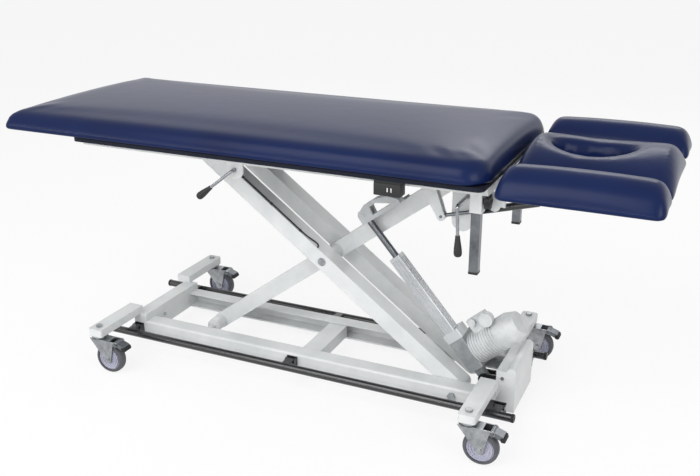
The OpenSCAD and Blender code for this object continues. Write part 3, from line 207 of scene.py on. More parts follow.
CORNERS = ("foot_near", "foot_far", "head_near", "head_far")
for corner in CORNERS:
    FINISH[corner + "_caster_fork"] = ZINC
    FINISH[corner + "_tyre"] = TREAD
    FINISH[corner + "_hub"] = WHEEL_PLASTIC
    FINISH[corner + "_brake_pedal"] = DARK_STEEL
for name, ob in NODES.items():
    ob.data.materials.clear()
    ob.data.materials.append(FINISH.get(name, FRAME_PAINT))


def keep(name, bm, material, body):
    """A finished piece at the world's origin, riding on its body."""
    mesh = bpy.data.meshes.new(name)
    bmesh.ops.recalc_face_normals(bm, faces=bm.faces)
    bm.to_mesh(mesh)
    bm.free()
    mesh.materials.append(material)
    mesh.shade_smooth()
    ob = bpy.data.objects.new(name, mesh)
    bpy.context.scene.collection.objects.link(ob)
    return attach(ob, body)


def settle(ob):
    """Turns an object's live modifiers into its plain mesh."""
    deps = bpy.context.evaluated_depsgraph_get()
    mesh = bpy.data.meshes.new_from_object(ob.evaluated_get(deps))
    ob.modifiers.clear()
    old, ob.data = ob.data, mesh
    bpy.data.meshes.remove(old)


def coords(mesh):
    """A mesh's points as rows of x, y and z."""
    out = np.empty(len(mesh.vertices) * 3)
    mesh.vertices.foreach_get("co", out)
    return out.reshape(-1, 3)


def set_coords(mesh, points):
    """Moves a mesh's points to the given rows."""
    mesh.vertices.foreach_set("co", np.asarray(points, dtype=np.float64).ravel())
    mesh.update()


# the side of a pad from its underside: a tight roll, then a long slope to the top, as mm inwards
# and as shares of the height
ROLL_IN = [7, 3, 0.8, 0]
SLOPE_IN = [1.5, 4, 8, 14, 22, 32, 44, 58]
SIDE_UP = [0, 0.03, 0.08, 0.14, 0.29, 0.45, 0.61, 0.76, 0.88, 0.955, 0.99, 1]
CORNER_STEPS = 8
SIDE_STEPS = 12
# the rings over and under a pad, as shares of the outermost one
TOP_RINGS = (0.86, 0.7, 0.52, 0.34, 0.16)
UNDER_RINGS = (0.25, 0.5, 0.75)
# the lip of the face hole from the top down its wall: mm outwards from the hole, share of the height
HOLE_LIP = [(62, 1), (50, 0.995), (40, 0.985), (30, 0.965), (21, 0.93), (13, 0.88), (7, 0.81),
            (3, 0.72), (0.5, 0.6), (0, 0.45), (0.5, 0.3), (2, 0.14), (4, 0)]
# how much of the lip's width goes along the pad, on its first ring and on the others
LIP_ALONG_FIRST = 0.6
LIP_ALONG = 0.5
DISH_RINGS = 3


def outline(hx, hy, r_head, r_foot, draw):
    """A rectangle with round corners whose sides are drawn in between the corners."""
    out = []
    for q in range(4):
        r = max(r_head if q in (0, 3) else r_foot, 1.0)
        r_next = max(r_foot if q < 2 else r_head, 1.0)
        sx = 1 if q in (0, 3) else -1
        sy = 1 if q < 2 else -1
        for k in range(CORNER_STEPS + 1):
            a = math.radians(90 * q + 90 * k / CORNER_STEPS)
            out.append((sx * (hx - r) + r * math.cos(a), sy * (hy - r) + r * math.sin(a)))
        for k in range(1, SIDE_STEPS):
            t = k / SIDE_STEPS
            d = draw * math.sin(math.pi * t)
            if q % 2 == 0:
                out.append((sx * (hx - r - (2 * hx - r - r_next) * t), sy * (hy - d)))
            else:
                out.append((sx * (hx - d), sy * (hy - r) * (1 - 2 * t)))
    return out


def close_bands(bm, rings, loop):
    """Joins rings of vertices, head to tail; loop joins the last ring to the first."""
    pairs = list(zip(rings, rings[1:])) + ([(rings[-1], rings[0])] if loop else [])
    for low, high in pairs:
        for k in range(len(low)):
            n = (k + 1) % len(low)
            bm.faces.new((low[k], low[n], high[n], high[k]))


def pad_shell(hx, hy, corners, h, edge_h, crown, draw, slope, centre):
    """A closed pad over its underside, in metres; sizes in millimetres, slope a share of the long one."""
    side_in = ROLL_IN + [slope * d for d in SLOPE_IN]
    def dome(x, y):
        return h - (h - edge_h) * (y / hy) ** 2 - crown * (x / hx) ** 2
    def loop(inset):
        return outline(hx - inset, hy - inset, corners[0] - inset, corners[1] - inset, draw)
    bm = bmesh.new()
    rings = []
    for inset, up in zip(side_in, SIDE_UP):
        rings.append([(x, y, dome(x, y) * up) for x, y in loop(inset)])
    top = loop(side_in[-1])
    for s in TOP_RINGS:
        rings.append([(x * s, y * s, dome(x * s, y * s)) for x, y in top])
    low = loop(side_in[0])
    under = [[(x * s, y * s, 0.0) for x, y in low] for s in UNDER_RINGS]
    rings = under + rings
    verts = [[bm.verts.new([(c + o) * MM for c, o in zip(p, centre)]) for p in ring] for ring in rings]
    close_bands(bm, verts, False)
    bm.faces.new(verts[0])
    bm.faces.new(verts[-1])
    return bm


def face_pad_shell(hx, hy, r, h, edge_h, draw, slope, centre, hole):
    """The centre head pad: a pad with a hole that its rim dips into."""
    side_in = ROLL_IN + [slope * d for d in SLOPE_IN]
    shift, half_len, half_w, dish = hole
    def dome(x, y):
        return h - (h - edge_h) * (y / hy) ** 2
    base = outline(hx, hy, r, r, 0)
    turn = [math.atan2(y, x - shift) for x, y in base]
    rings = []
    for inset, up in zip(side_in, SIDE_UP):
        rings.append([(x, y, max(dome(x, y), edge_h) * up)
                      for x, y in outline(hx - inset, hy - inset, r - inset, r - inset, draw)])
    for j, (grow, up) in enumerate(HOLE_LIP):
        along = LIP_ALONG_FIRST if j == 0 else LIP_ALONG
        dip = dish * min(1.0, j / DISH_RINGS)
        ring = []
        for a in turn:
            x = shift + (half_len + grow * along) * math.cos(a)
            y = (half_w + grow) * math.sin(a)
            ring.append((x, y, (dome(x, y) - dip) * up))
        rings.append(ring)
    bm = bmesh.new()
    verts = [[bm.verts.new([(c + o) * MM for c, o in zip(p, centre)]) for p in ring] for ring in rings]
    close_bands(bm, verts, True)
    return bm


SIM_FRAMES = 20
RELAX_TIMES = 7


def stuff(name, bm, body, replaced, voxel_mm, cap_mm, pin_mm, puff_mm=0):
    """Blows a shell up as its foam does against the skin, then fits it to the box of its solid.

    The steps are a remesh, cloth under pressure with a cap on its movement, and a subdivision.
    """
    ob = keep(name, bm, VINYL, body)
    floor = coords(ob.data)[:, 2].min()
    shrink = ob.modifiers.new("skin", "REMESH")
    shrink.mode = "VOXEL"
    shrink.voxel_size = voxel_mm * MM
    settle(ob)
    start = coords(ob.data)
    held = ob.vertex_groups.new(name="held")
    low = [int(i) for i in np.nonzero(start[:, 2] < floor + pin_mm * MM)[0]]
    held.add(low, 1.0, "REPLACE")
    cloth = ob.modifiers.new("foam", "CLOTH")
    cloth.settings.quality = 5
    cloth.settings.mass = 0.3
    cloth.settings.tension_stiffness = 18
    cloth.settings.compression_stiffness = 18
    cloth.settings.bending_stiffness = 1.5
    cloth.settings.use_pressure = True
    cloth.settings.uniform_pressure_force = 4
    cloth.settings.effector_weights.gravity = 0
    cloth.settings.vertex_group_mass = "held"
    cloth.point_cache.frame_start = 1
    cloth.point_cache.frame_end = SIM_FRAMES
    for f in range(1, SIM_FRAMES + 1):
        bpy.context.scene.frame_set(f)
    deps = bpy.context.evaluated_depsgraph_get()
    moved = coords(ob.evaluated_get(deps).to_mesh()) - start
    ob.modifiers.clear()
    ob.vertex_groups.clear()
    far = np.linalg.norm(moved, axis=1, keepdims=True)
    limit = cap_mm * MM
    moved *= limit * np.tanh(far / limit) / np.maximum(far, 1e-9)
    set_coords(ob.data, start + moved)
    bpy.context.scene.frame_set(1)
    relax(ob, RELAX_TIMES)
    finer = ob.modifiers.new("finer", "SUBSURF")
    finer.levels = 1
    finer.render_levels = 1
    settle(ob)
    lo, hi = (np.array(corner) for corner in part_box(replaced))
    hi[2] += puff_mm * MM
    skin = coords(ob.data)
    skin_lo, skin_hi = skin.min(0), skin.max(0)
    set_coords(ob.data, lo + (skin - skin_lo) * (hi - lo) / (skin_hi - skin_lo))
    ob.data.shade_smooth()
    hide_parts(replaced)


def relax(ob, times):
    """Takes the remesh's steps out of the skin."""
    bm = bmesh.new()
    bm.from_mesh(ob.data)
    for _ in range(times):
        bmesh.ops.smooth_vert(bm, verts=bm.verts, factor=0.5,
                              use_axis_x=True, use_axis_y=True, use_axis_z=True)
    bm.to_mesh(ob.data)
    bm.free()


def node_mm(name):
    """The two corners of a node's box, in mm."""
    lo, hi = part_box(name)
    return [c * MM_PER_M for c in lo], [c * MM_PER_M for c in hi]


def pad_place(name):
    """A pad's half length, half width, the middle of its underside and its height, in mm."""
    lo, hi = node_mm(name)
    mid = [(lo[0] + hi[0]) / 2, (lo[1] + hi[1]) / 2, lo[2]]
    return (hi[0] - lo[0]) / 2, (hi[1] - lo[1]) / 2, mid, hi[2] - lo[2]


# sizes in mm; a pad's corners are the radii at its head end and at its foot end
MAIN_CORNERS = (82, 16)
MAIN_EDGE_DROP = 9
FACE_CORNER = 26
FACE_EDGE_H = 15
ARM_CORNERS = (26, 26)
ARM_EDGE_H = 30
HOLE_FROM_FOOT = 175
HOLE_HALF_LEN = 107
HOLE_HALF_W = 60
HOLE_DISH = 5

hx, hy, mid, high = pad_place("main_cushion")
shell = pad_shell(hx, hy, MAIN_CORNERS, high, high - MAIN_EDGE_DROP, crown=0, draw=3, slope=1.0,
                  centre=mid)
stuff("main_pad", shell, "table_top", "main_cushion", voxel_mm=8, cap_mm=5, pin_mm=8, puff_mm=7)
hx, hy, mid, high = pad_place("head_cushion")
shell = face_pad_shell(hx, hy, FACE_CORNER, high, FACE_EDGE_H, draw=3, slope=0.8, centre=mid,
                       hole=(HOLE_FROM_FOOT - hx, HOLE_HALF_LEN, HOLE_HALF_W, HOLE_DISH))
stuff("face_pad", shell, "head_rest", "head_cushion", voxel_mm=5, cap_mm=4, pin_mm=5)
for side in ("near", "far"):
    hx, hy, mid, high = pad_place(side + "_arm_pad")
    shell = pad_shell(hx, hy, ARM_CORNERS, high, ARM_EDGE_H, crown=6, draw=2, slope=0.8, centre=mid)
    stuff(side + "_arm_cushion", shell, side + "_armrest", side + "_arm_pad",
          voxel_mm=5, cap_mm=4, pin_mm=5)

REST_ANGLE = math.radians(36.6)
LOWER_PIVOT = Vector((0.432, 0.0, 0.075))
ARM_MM = 1096


def on_outer_arm(along_mm, side_mm, up_mm):
    """A place on an outer arm: along it from the lower pivot, across the table, over its middle."""
    c, s = math.cos(REST_ANGLE), math.sin(REST_ANGLE)
    return LOWER_PIVOT + Vector((-along_mm * c + up_mm * s, side_mm, along_mm * s + up_mm * c)) * MM


def on_inner_arm(along_mm, side_mm, up_mm):
    """The same on the inner arm, along it from the lower roller."""
    c, s = math.cos(REST_ANGLE), math.sin(REST_ANGLE)
    foot = Vector((LOWER_PIVOT.x - ARM_MM * MM * c, 0, LOWER_PIVOT.z))
    return foot + Vector((along_mm * c - up_mm * s, side_mm, along_mm * s + up_mm * c)) * MM


def smooth_path(points, per_span):
    """Catmull-Rom points through the given ones."""
    pts = [Vector(p) for p in points]
    ends = [2 * pts[0] - pts[1]] + pts + [2 * pts[-1] - pts[-2]]
    out = []
    for i in range(1, len(ends) - 2):
        a, b, c, d = ends[i - 1 : i + 3]
        for k in range(per_span):
            t = k / per_span
            out.append(0.5 * (2 * b + (c - a) * t + (2 * a - 5 * b + 4 * c - d) * t * t
                              + (3 * b - a - 3 * c + d) * t ** 3))
    out.append(pts[-1])
    return out


def tube(bm, path, radius, sides=12):
    """A closed round tube along a path, in metres."""
    first = (path[1] - path[0]).normalized()
    across = first.cross(Vector((0.3, 1, 0.2))).normalized()
    rings = []
    for i, p in enumerate(path):
        ahead = (path[min(i + 1, len(path) - 1)] - path[max(i - 1, 0)]).normalized()
        across = (across - ahead * across.dot(ahead)).normalized()
        other = ahead.cross(across)
        rings.append([bm.verts.new(p + radius * (math.cos(2 * math.pi * k / sides) * across
                                                 + math.sin(2 * math.pi * k / sides) * other))
                      for k in range(sides)])
    close_bands(bm, rings, False)
    bm.faces.new(rings[0])
    bm.faces.new(rings[-1])


def turned(bm, profile, start, ahead, sides=32):
    """A turned form: (along, radius) in mm from start along a direction; a radius of 0 closes it."""
    ahead = Vector(ahead).normalized()
    across = ahead.orthogonal().normalized()
    other = ahead.cross(across)
    rings, caps = [], []
    for at, r in profile:
        centre = Vector(start) + ahead * at * MM
        if r <= 0:
            caps.append((len(rings), bm.verts.new(centre)))
            continue
        rings.append([bm.verts.new(centre + r * MM * (math.cos(2 * math.pi * k / sides) * across
                                                       + math.sin(2 * math.pi * k / sides) * other))
                      for k in range(sides)])
    close_bands(bm, rings, False)
    for after, tip in caps:
        ring = rings[0] if after == 0 else rings[-1]
        for k in range(sides):
            bm.faces.new((ring[k], ring[(k + 1) % sides], tip))


def block(bm, low, high, round_mm, segments=3):
    """A box with rounded edges, between two corners in mm."""
    made = bmesh.ops.create_cube(bm, size=1.0)["verts"]
    lo, hi = Vector(low) * MM, Vector(high) * MM
    for v in made:
        v.co = Vector(((v.co.x + 0.5) * (hi.x - lo.x) + lo.x, (v.co.y + 0.5) * (hi.y - lo.y) + lo.y,
                       (v.co.z + 0.5) * (hi.z - lo.z) + lo.z))
    edges = list({e for v in made for e in v.link_edges})
    bmesh.ops.bevel(bm, geom=edges, offset=round_mm * MM, segments=segments, profile=0.5, affect="EDGES")


def prism(bm, shape, y0, y1, round_mm):
    """A shape in X and Z, in mm, run across the table and rounded at its two faces."""
    rings = [[bm.verts.new(Vector((x, y, z)) * MM) for x, z in shape] for y in (y0, y1)]
    close_bands(bm, rings, False)
    faces = [bm.faces.new(rings[0]), bm.faces.new(rings[1])]
    edges = list({e for f in faces for e in f.edges})
    bmesh.ops.bevel(bm, geom=edges, offset=round_mm * MM, segments=2, profile=0.5, affect="EDGES")


def crisp(ob, degrees=35):
    """Keeps the edges of a turned or moulded piece sharp where it turns hard."""
    mesh = ob.data
    bm = bmesh.new()
    bm.from_mesh(mesh)
    for e in bm.edges:
        e.smooth = len(e.link_faces) == 2 and e.calc_face_angle(0.0) < math.radians(degrees)
    bm.to_mesh(mesh)
    bm.free()
    return ob


def bead_tree(name, material):
    """Beads of a weld along a path, sized and spaced by named inputs."""
    tree = bpy.data.node_groups.new(name, "GeometryNodeTree")
    face = tree.interface
    face.new_socket("Path", in_out="INPUT", socket_type="NodeSocketGeometry")
    for label, value in (("Spacing", 0.002), ("Size", 0.002)):
        socket = face.new_socket(label, in_out="INPUT", socket_type="NodeSocketFloat")
        socket.default_value = value
    face.new_socket("Made", in_out="OUTPUT", socket_type="NodeSocketGeometry")
    given = add(tree, "NodeGroupInput")
    curve = add(tree, "GeometryNodeMeshToCurve", None, {"Mesh": given.outputs["Path"]})
    even = add(tree, "GeometryNodeCurveToPoints", {"mode": "LENGTH"},
               {"Curve": curve.outputs[0], "Length": given.outputs["Spacing"]})
    form = add(tree, "GeometryNodeMeshIcoSphere", None,
               {"Radius": given.outputs["Size"], "Subdivisions": 2})
    vary = add(tree, "FunctionNodeRandomValue", {"data_type": "FLOAT"}, {2: 0.85, 3: 1.15, "Seed": 7})
    placed = add(tree, "GeometryNodeInstanceOnPoints", None,
                 {"Points": even.outputs["Points"], "Instance": form.outputs["Mesh"],
                  "Rotation": even.outputs["Rotation"]})
    tree.links.new(vary.outputs[1], placed.inputs["Scale"])
    real = add(tree, "GeometryNodeRealizeInstances", None, {"Geometry": placed.outputs["Instances"]})
    coated = add(tree, "GeometryNodeSetMaterial", None,
                 {"Geometry": real.outputs["Geometry"], "Material": material})
    shaded = add(tree, "GeometryNodeSetShadeSmooth", None,
                 {"Geometry": coated.outputs[0], "Shade Smooth": True})
    made = add(tree, "NodeGroupOutput")
    tree.links.new(shaded.outputs[0], made.inputs["Made"])
    return tree


def repeated(name, tree, paths, body, material, **sizes):
    """The tree's forms along several paths, as one plain mesh on one body."""
    mesh = bpy.data.meshes.new(name)
    verts, edges = [], []
    for path, closed in paths:
        base = len(verts)
        verts += [tuple(p) for p in path]
        edges += [(base + i, base + i + 1) for i in range(len(path) - 1)]
        if closed:
            edges.append((base + len(path) - 1, base))
    mesh.from_pydata(verts, edges, [])
    mesh.materials.append(material)
    ob = bpy.data.objects.new(name, mesh)
    bpy.context.scene.collection.objects.link(ob)
    mod = ob.modifiers.new("repeat", "NODES")
    mod.node_group = tree
    for item in tree.interface.items_tree:
        if item.item_type == "SOCKET" and item.in_out == "INPUT" and item.name in sizes:
            mod[item.identifier] = sizes[item.name]
    settle(ob)
    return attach(ob, body)


def circle_path(centre, radius_mm, count=48):
    """A ring of points around an axis across the table."""
    out = []
    for k in range(count):
        a = 2 * math.pi * k / count
        u, v = radius_mm * MM * math.cos(a), radius_mm * MM * math.sin(a)
        out.append(Vector(centre) + Vector((u, 0, v)))
    return out


GRIP_SHAPE = [(0, 0), (0, 5.2), (1.0, 6.0), (4, 6.4), (12, 7.3), (24, 8.9), (36, 10.3), (46, 11.0),
              (52, 10.8), (56, 9.3), (58, 7.0), (58.4, 4.5), (57.6, 4.0), (57.6, 0)]
LEVER_ROD_R = 4.5
LEVER_BUSH_R = 6.0
LEVER_BEND_R = 6.0
BEND_STEPS = 6
# how far the bush stops before the lever's plane, and how far the grip laps over its rod
BUSH_SHORT = 9
GRIP_LAP = 9


def pull_lever(prefix, place, inner_y, lean_deg, rod_mm, body, node):
    """A bent chrome rod out of its bearing, with a drop-shaped nylon grip."""
    place = Vector(place) * MM
    down = math.radians(180 + lean_deg)
    ahead = Vector((math.sin(down), 0, math.cos(down)))
    bush = inner_y - place.y / MM - BUSH_SHORT
    bm = bmesh.new()
    turned(bm, [(0, 0), (0, LEVER_BUSH_R - 0.6), (0.6, LEVER_BUSH_R), (bush, LEVER_BUSH_R), (bush, 0)],
           (place.x, inner_y * MM, place.z), (0, -1, 0))
    r = LEVER_BEND_R * MM
    bend = [place + Vector((0, 2 * r, 0)), place + Vector((0, r, 0))]
    for k in range(BEND_STEPS + 1):
        a = math.radians(90 * k / BEND_STEPS)
        bend.append(place + Vector((0, r * (1 - math.sin(a)), 0)) + ahead * r * (1 - math.cos(a)))
    bend.append(place + ahead * rod_mm * MM)
    tube(bm, bend, LEVER_ROD_R * MM, 16)
    rod = keep(prefix + "_rod", bm, CHROME, body)
    crisp(rod)
    bm = bmesh.new()
    turned(bm, GRIP_SHAPE, place + ahead * (rod_mm - GRIP_LAP) * MM, ahead)
    grip = crisp(keep(prefix + "_grip", bm, BLACK_PLASTIC, body), 50)
    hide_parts(node)


pull_lever("head_lever", (455, -250, 686), -148, -3, 88, "head_release_lever", "head_lever")
pull_lever("foot_lever", (-201, -276, 707), -253, 52, 98, "foot_release_lever", "foot_lever")

CABLE_MM = [(586, -96, 25), (586, -96, 29), (590, -96, 33), (600, -96, 34), (640, -96, 28.5),
            (700, -96, 28.2), (760, -96, 28.2), (820, -96, 28.2), (880, -96, 28.2), (940, -96, 28.2),
            (1000, -96, 28.5), (1040, -95, 34), (1050, -94, 33), (1054, -94, 29), (1054, -94, 25)]
CABLE_R = 2.4
SADDLES_ALONG = (660, 780, 900, 985)
SADDLE_HALF_LEN = 3
SADDLE_HALF_W = 4.0
SADDLE_STEPS = 8
SADDLE_SIDE = -96
ARM_TOP = 25


def arm_cable():
    """The thin cable along the near outer arm, in its rubber sheath, held by nylon saddles."""
    bm = bmesh.new()
    tube(bm, smooth_path([on_outer_arm(*p) for p in CABLE_MM], 5), CABLE_R * MM)
    cable = keep("switch_cable", bm, BLACK_RUBBER, "outer_arms")
    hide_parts("arm_cable")
    bm = bmesh.new()
    arch = []
    for k in range(SADDLE_STEPS + 1):
        t = math.pi * k / SADDLE_STEPS
        arch.append((SADDLE_HALF_W * math.cos(t), 3.2 + 3.4 * math.sin(t)))
    arch += [(-SADDLE_HALF_W, 0), (SADDLE_HALF_W, 0)]
    for along in SADDLES_ALONG:
        ends = []
        for at in (along - SADDLE_HALF_LEN, along + SADDLE_HALF_LEN):
            ends.append([bm.verts.new(on_outer_arm(at, SADDLE_SIDE + s, ARM_TOP + h)) for s, h in arch])
        close_bands(bm, ends, False)
        bm.faces.new(ends[0])
        bm.faces.new(ends[1])
    saddles = crisp(keep("cable_saddles", bm, BLACK_PLASTIC, "outer_arms"))


arm_cable()

STEMS = {"foot_near": (-690, -328), "foot_far": (-690, 328),
         "head_near": (536, -328), "head_far": (536, 328)}
PEDAL_TOE = [(92, 98), (97.5, 100.5), (104.5, 99.5), (107, 90), (104.5, 86.5), (96, 86.5), (93.5, 89)]
TOE_HALF_W = 17.5
TOE_ROUND = 1.4
BALL_RACE = [(0, 0), (0, 20), (0.8, 22.3), (3.2, 22.3), (4.0, 20), (4.0, 0)]
RACE_Z = 112.2


def caster_trim(corner, x, y):
    """A caster's small parts: a rubber toe on the pedal and a ball race under the plate."""
    bm = bmesh.new()
    prism(bm, [(x + a, b) for a, b in PEDAL_TOE], y - TOE_HALF_W, y + TOE_HALF_W, TOE_ROUND)
    toe = crisp(keep(corner + "_pedal_toe", bm, BLACK_RUBBER, corner + "_brake"))
    bm = bmesh.new()
    turned(bm, BALL_RACE, Vector((x, y, RACE_Z)) * MM, (0, 0, 1), 40)
    race = crisp(keep(corner + "_ball_race", bm, DARK_STEEL, corner + "_swivel"))


for corner, (x, y) in STEMS.items():
    caster_trim(corner, x, y)


# mm along the stud, and the share of the full outline there
KNOB_LAYERS = [(6, 0.82), (7.2, 0.96), (9, 1.0), (18, 1.0), (20.2, 0.95), (21, 0.8)]
KNOB_POINTS = 80
KNOB_LOBES = 5
KNOB_VALLEY_R = 14.0
KNOB_LOBE_H = 7.6
KNOB_COLLAR = [(0.4, 0), (0.4, 7.5), (1.2, 8.2), (6.5, 9.0), (6.5, 0)]
KNOB_DOME = [(20.5, 0), (20.5, 7.6), (22.6, 6.8), (23.2, 5.0), (23.4, 0)]
KNOB_STUD = [(-4, 0), (-4, 4), (2, 4), (2, 0)]


def star_knob(side):
    """A five-lobed nylon clamping knob: soft lobes, a domed middle and the end of its stud."""
    bm = bmesh.new()
    centre = Vector(JOINTS[side + "_knob_turn"]["pos_m"]) / MM
    rings = []
    for at, share in KNOB_LAYERS:
        ring = []
        for k in range(KNOB_POINTS):
            a = 2 * math.pi * k / KNOB_POINTS
            lobe = 0.5 + 0.5 * math.cos(KNOB_LOBES * a)
            r = (KNOB_VALLEY_R + KNOB_LOBE_H * lobe ** 0.75) * share
            ring.append(bm.verts.new((centre + Vector((at, r * math.cos(a), r * math.sin(a)))) * MM))
        rings.append(ring)
    close_bands(bm, rings, False)
    bm.faces.new(rings[0])
    bm.faces.new(rings[-1])
    turned(bm, KNOB_COLLAR, centre * MM, (1, 0, 0))
    turned(bm, KNOB_DOME, centre * MM, (1, 0, 0))
    knob = crisp(keep(side + "_clamp_knob", bm, BLACK_PLASTIC, side + "_knob"), 50)
    bm = bmesh.new()
    turned(bm, KNOB_STUD, centre * MM, (1, 0, 0), 24)
    stud = crisp(keep(side + "_clamp_stud", bm, ZINC, side + "_knob"))
    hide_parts(side + "_star_knob")


star_knob("near")
star_knob("far")


BOX_LID_H = 11
ROCKER_AT = (0.5, 0.64)
ROCKER_LEN = 3.2


def control_box():
    """The drive's control box: a moulded case with a lid line and two pale rocker switches."""
    lo, hi = node_mm("control_box")
    bm = bmesh.new()
    block(bm, (lo[0], lo[1] + 1.5, lo[2]), (hi[0], hi[1], hi[2] - BOX_LID_H), 2.5)
    block(bm, (lo[0] + 0.8, lo[1] + 2.3, hi[2] - BOX_LID_H - 0.6), (hi[0] - 0.8, hi[1], hi[2]), 1.2)
    case = crisp(keep("switch_case", bm, BLACK_PLASTIC, "table_top"))
    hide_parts("control_box")
    bm = bmesh.new()
    for share in ROCKER_AT:
        x = lo[0] + share * (hi[0] - lo[0])
        block(bm, (x, lo[1] + 0.2, lo[2] + 12), (x + ROCKER_LEN, lo[1] + 2.2, lo[2] + 23), 0.6, 2)
    rockers = crisp(keep("switch_rockers", bm, PALE_PLASTIC, "table_top"))


control_box()


POST_X = 499
POST_Y = 220
CAP_HALF = 13
CAP_BELOW = 1.5
CAP_ABOVE = 6.5
CAP_ROUND = 1.6
# where each knuckle starts across the table, how long it is and which way it runs
KNUCKLES = ((-118, 236, 1), (149, 57.6, 1), (-149, 57.6, -1))
KNUCKLE_R = 7.2
KNUCKLE_CHAMFER = 0.6


def post_caps():
    """Push-in caps at the feet of the armrest posts, and the black knuckles of the head hinge."""
    post_foot = node_mm("armrest_posts")[0][2]
    bm = bmesh.new()
    for s in (-1, 1):
        block(bm, (POST_X - CAP_HALF, s * POST_Y - CAP_HALF, post_foot - CAP_BELOW),
              (POST_X + CAP_HALF, s * POST_Y + CAP_HALF, post_foot + CAP_ABOVE), CAP_ROUND)
    caps = crisp(keep("post_foot_caps", bm, BLACK_PLASTIC, "table_top"))
    bm = bmesh.new()
    hinge = Vector(JOINTS["head_tilt"]["pos_m"])
    end_r = KNUCKLE_R - KNUCKLE_CHAMFER
    for start, length, way in KNUCKLES:
        turned(bm, [(0, 0), (0, end_r), (KNUCKLE_CHAMFER, KNUCKLE_R),
                    (length - KNUCKLE_CHAMFER, KNUCKLE_R), (length, end_r), (length, 0)],
               hinge + Vector((0, start, 0)) * MM, (0, way, 0))
    knuckles = crisp(keep("hinge_knuckles", bm, BLACK_PAINT, "table_top"))


post_caps()


BAR_PLUG = [(0, 0), (0, 8), (0.8, 11.4), (2.2, 12.4), (9, 12.4), (9.4, 12), (9.4, 0)]
BAR_ENDS = ((-800, 1), (630, -1))
BAR_Y = 200
BAR_Z = 77


def foot_bar_ends():
    """Rubber plugs in the ends of the foot bars."""
    for side, sign in (("near", -1), ("far", 1)):
        bm = bmesh.new()
        for x, way in BAR_ENDS:
            turned(bm, BAR_PLUG, Vector((x, sign * BAR_Y, BAR_Z)) * MM, (way, 0, 0))
        plugs = crisp(keep(side + "_bar_plugs", bm, BLACK_RUBBER, side + "_bar"))


foot_bar_ends()

WELD = bead_tree("weld_bead", FRAME_PAINT)
# in metres
BEAD_STEP = 0.0019
ARM_BEAD_R = 0.0016
BASE_BEAD_R = 0.0017
# in mm: the ring around a cross tube and its places across the arms
RING_R = 23.6
OUTER_RING_Y = 42.6
INNER_RING_Y = (0.6, 41.4)
# the seams of the middle member on the rails, then the short ones at the foot end
SEAM_X = (-83, -21)
SEAM_Y = 102.6
SEAM_Z = (55, 93, 94)
FOOT_SEAM_X = (-715, -665)
FOOT_SEAM_Y = (138, 152)
FOOT_SEAM_Z = 123.6


def welds():
    """Painted-over weld beads where tubes meet arms and cross members meet rails."""
    rings = []
    for s in (-1, 1):
        rings.append((circle_path(on_outer_arm(ARM_MM, s * OUTER_RING_Y, 0), RING_R), True))
    repeated("outer_arm_welds", WELD, rings, "outer_arms", FRAME_PAINT,
             Spacing=BEAD_STEP, Size=ARM_BEAD_R)
    rings = []
    for along in (0, ARM_MM):
        for y in INNER_RING_Y:
            rings.append((circle_path(on_inner_arm(along, y, 0), RING_R), True))
    repeated("inner_arm_welds", WELD, rings, "inner_arms", FRAME_PAINT,
             Spacing=BEAD_STEP, Size=ARM_BEAD_R)
    lines = []
    def line(a, b, count=40):
        a, b = Vector(a) * MM, Vector(b) * MM
        lines.append(([a + (b - a) * k / count for k in range(count + 1)], False))
    low_z, high_z, top_z = SEAM_Z
    for x in SEAM_X:
        for s in (-1, 1):
            line((x, s * SEAM_Y, low_z), (x, s * SEAM_Y, high_z))
    for s in (-1, 1):
        line((SEAM_X[0], s * SEAM_Y, top_z), (SEAM_X[1], s * SEAM_Y, top_z))
        for x in FOOT_SEAM_X:
            line((x, s * FOOT_SEAM_Y[0], FOOT_SEAM_Z), (x, s * FOOT_SEAM_Y[1], FOOT_SEAM_Z))
    repeated("base_welds", WELD, lines, "base", FRAME_PAINT, Spacing=BEAD_STEP, Size=BASE_BEAD_R)


welds()


FLOOR_HALF_M = 30.0
FLOOR_GLOW = 0.84
ROOM_FILL = 0.55


def seen_rays(tree):
    """The light path node, and a value of 1 for rays of the camera and of reflections."""
    rays = add(tree, "ShaderNodeLightPath")
    seen = add(tree, "ShaderNodeMath", {"operation": "MAXIMUM"},
               {0: rays.outputs["Is Camera Ray"], 1: rays.outputs["Is Glossy Ray"]})
    return rays, seen.outputs[0]


def white_floor():
    """A plain pale floor: white to the camera and to reflections, with the object's soft shadow."""
    mat, tree, out, _ = start_material("plain_white_floor")
    _, seen = seen_rays(tree)
    share = add(tree, "ShaderNodeMath", {"operation": "MULTIPLY"}, {0: seen, 1: FLOOR_GLOW})
    matt = add(tree, "ShaderNodeBsdfDiffuse", None, {"Color": rgb("#f4f4f4")})
    glow = add(tree, "ShaderNodeEmission", None, {"Color": (1, 1, 1, 1), "Strength": 1.0})
    mix = add(tree, "ShaderNodeMixShader", None,
              {0: share.outputs[0], 1: matt.outputs[0], 2: glow.outputs[0]})
    tree.links.new(mix.outputs[0], out.inputs["Surface"])
    return mat


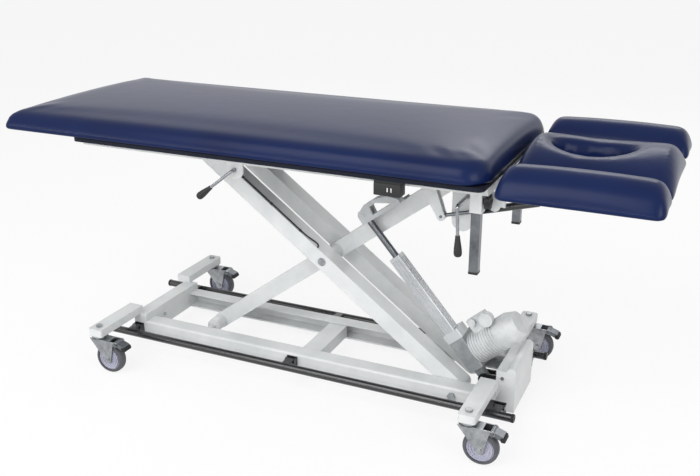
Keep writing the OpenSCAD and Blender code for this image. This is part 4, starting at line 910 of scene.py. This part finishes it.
def build_stage():
    """The floor and the white room around it."""
    mesh = bpy.data.meshes.new("floor")
    s = FLOOR_HALF_M
    mesh.from_pydata([(-s, -s, 0), (s, -s, 0), (s, s, 0), (-s, s, 0)], [], [(0, 1, 2, 3)])
    mesh.materials.append(white_floor())
    floor = bpy.data.objects.new("floor", mesh)
    bpy.context.scene.collection.objects.link(floor)
    world = bpy.data.worlds.new("white_room")
    bpy.context.scene.world = world
    world.use_nodes = True
    tree = world.node_tree
    tree.nodes.clear()
    out = add(tree, "ShaderNodeOutputWorld")
    rays, seen = seen_rays(tree)
    wide = add(tree, "ShaderNodeMath", {"operation": "MAXIMUM"},
               {0: seen, 1: rays.outputs["Is Transmission Ray"]})
    fill = add(tree, "ShaderNodeBackground", None, {"Color": rgb("#ffffff"), "Strength": ROOM_FILL})
    white = add(tree, "ShaderNodeBackground", None, {"Color": rgb("#ffffff"), "Strength": 1.0})
    mix = add(tree, "ShaderNodeMixShader", None,
              {0: wide.outputs[0], 1: fill.outputs[0], 2: white.outputs[0]})
    tree.links.new(mix.outputs[0], out.inputs["Surface"])


LAMPS = (
    # name, place, aim, width, height, watts
    ("key_softbox", (-0.9, -3.2, 3.4), (0.0, 0.0, 0.6), 3.2, 2.4, 95),
    ("front_strip", (-1.0, -3.3, 1.15), (-0.2, 0.0, 0.75), 5.4, 0.2, 34),
    ("fill_softbox", (3.4, -2.2, 2.2), (0.2, 0.0, 0.5), 2.0, 1.6, 45),
    ("back_softbox", (0.3, 3.6, 3.0), (0.0, 0.0, 0.6), 2.6, 1.2, 30),
)


def build_lamps():
    """Rectangular softboxes, each aimed at a point."""
    for name, place, aim, width, height, watts in LAMPS:
        lamp = bpy.data.lights.new(name, "AREA")
        lamp.shape = "RECTANGLE"
        lamp.size = width
        lamp.size_y = height
        lamp.energy = watts
        ob = bpy.data.objects.new(name, lamp)
        ob.location = place
        ob.rotation_euler = (Vector(aim) - Vector(place)).to_track_quat("-Z", "Y").to_euler()
        bpy.context.scene.collection.objects.link(ob)


CAMERA_PLACE = (1.0954, -2.3114, 1.3903)
CAMERA_DOWN_DEG = 19.98
CAMERA_ROUND_DEG = 24.46


def build_camera():
    """The photograph's view, from the camera fit."""
    data = bpy.data.cameras.new("photo_view")
    data.sensor_fit = "HORIZONTAL"
    data.sensor_width = 36.0
    data.lens = 45.39
    data.shift_x = -0.00186
    data.shift_y = -0.00643
    data.clip_end = 100
    ob = bpy.data.objects.new("photo_view", data)
    ob.location = CAMERA_PLACE
    ob.rotation_euler = (math.radians(90 - CAMERA_DOWN_DEG), 0.0, math.radians(CAMERA_ROUND_DEG))
    bpy.context.scene.collection.objects.link(ob)
    bpy.context.scene.camera = ob


build_stage()
build_lamps()
build_camera()
bpy.context.scene.view_settings.view_transform = "Standard"
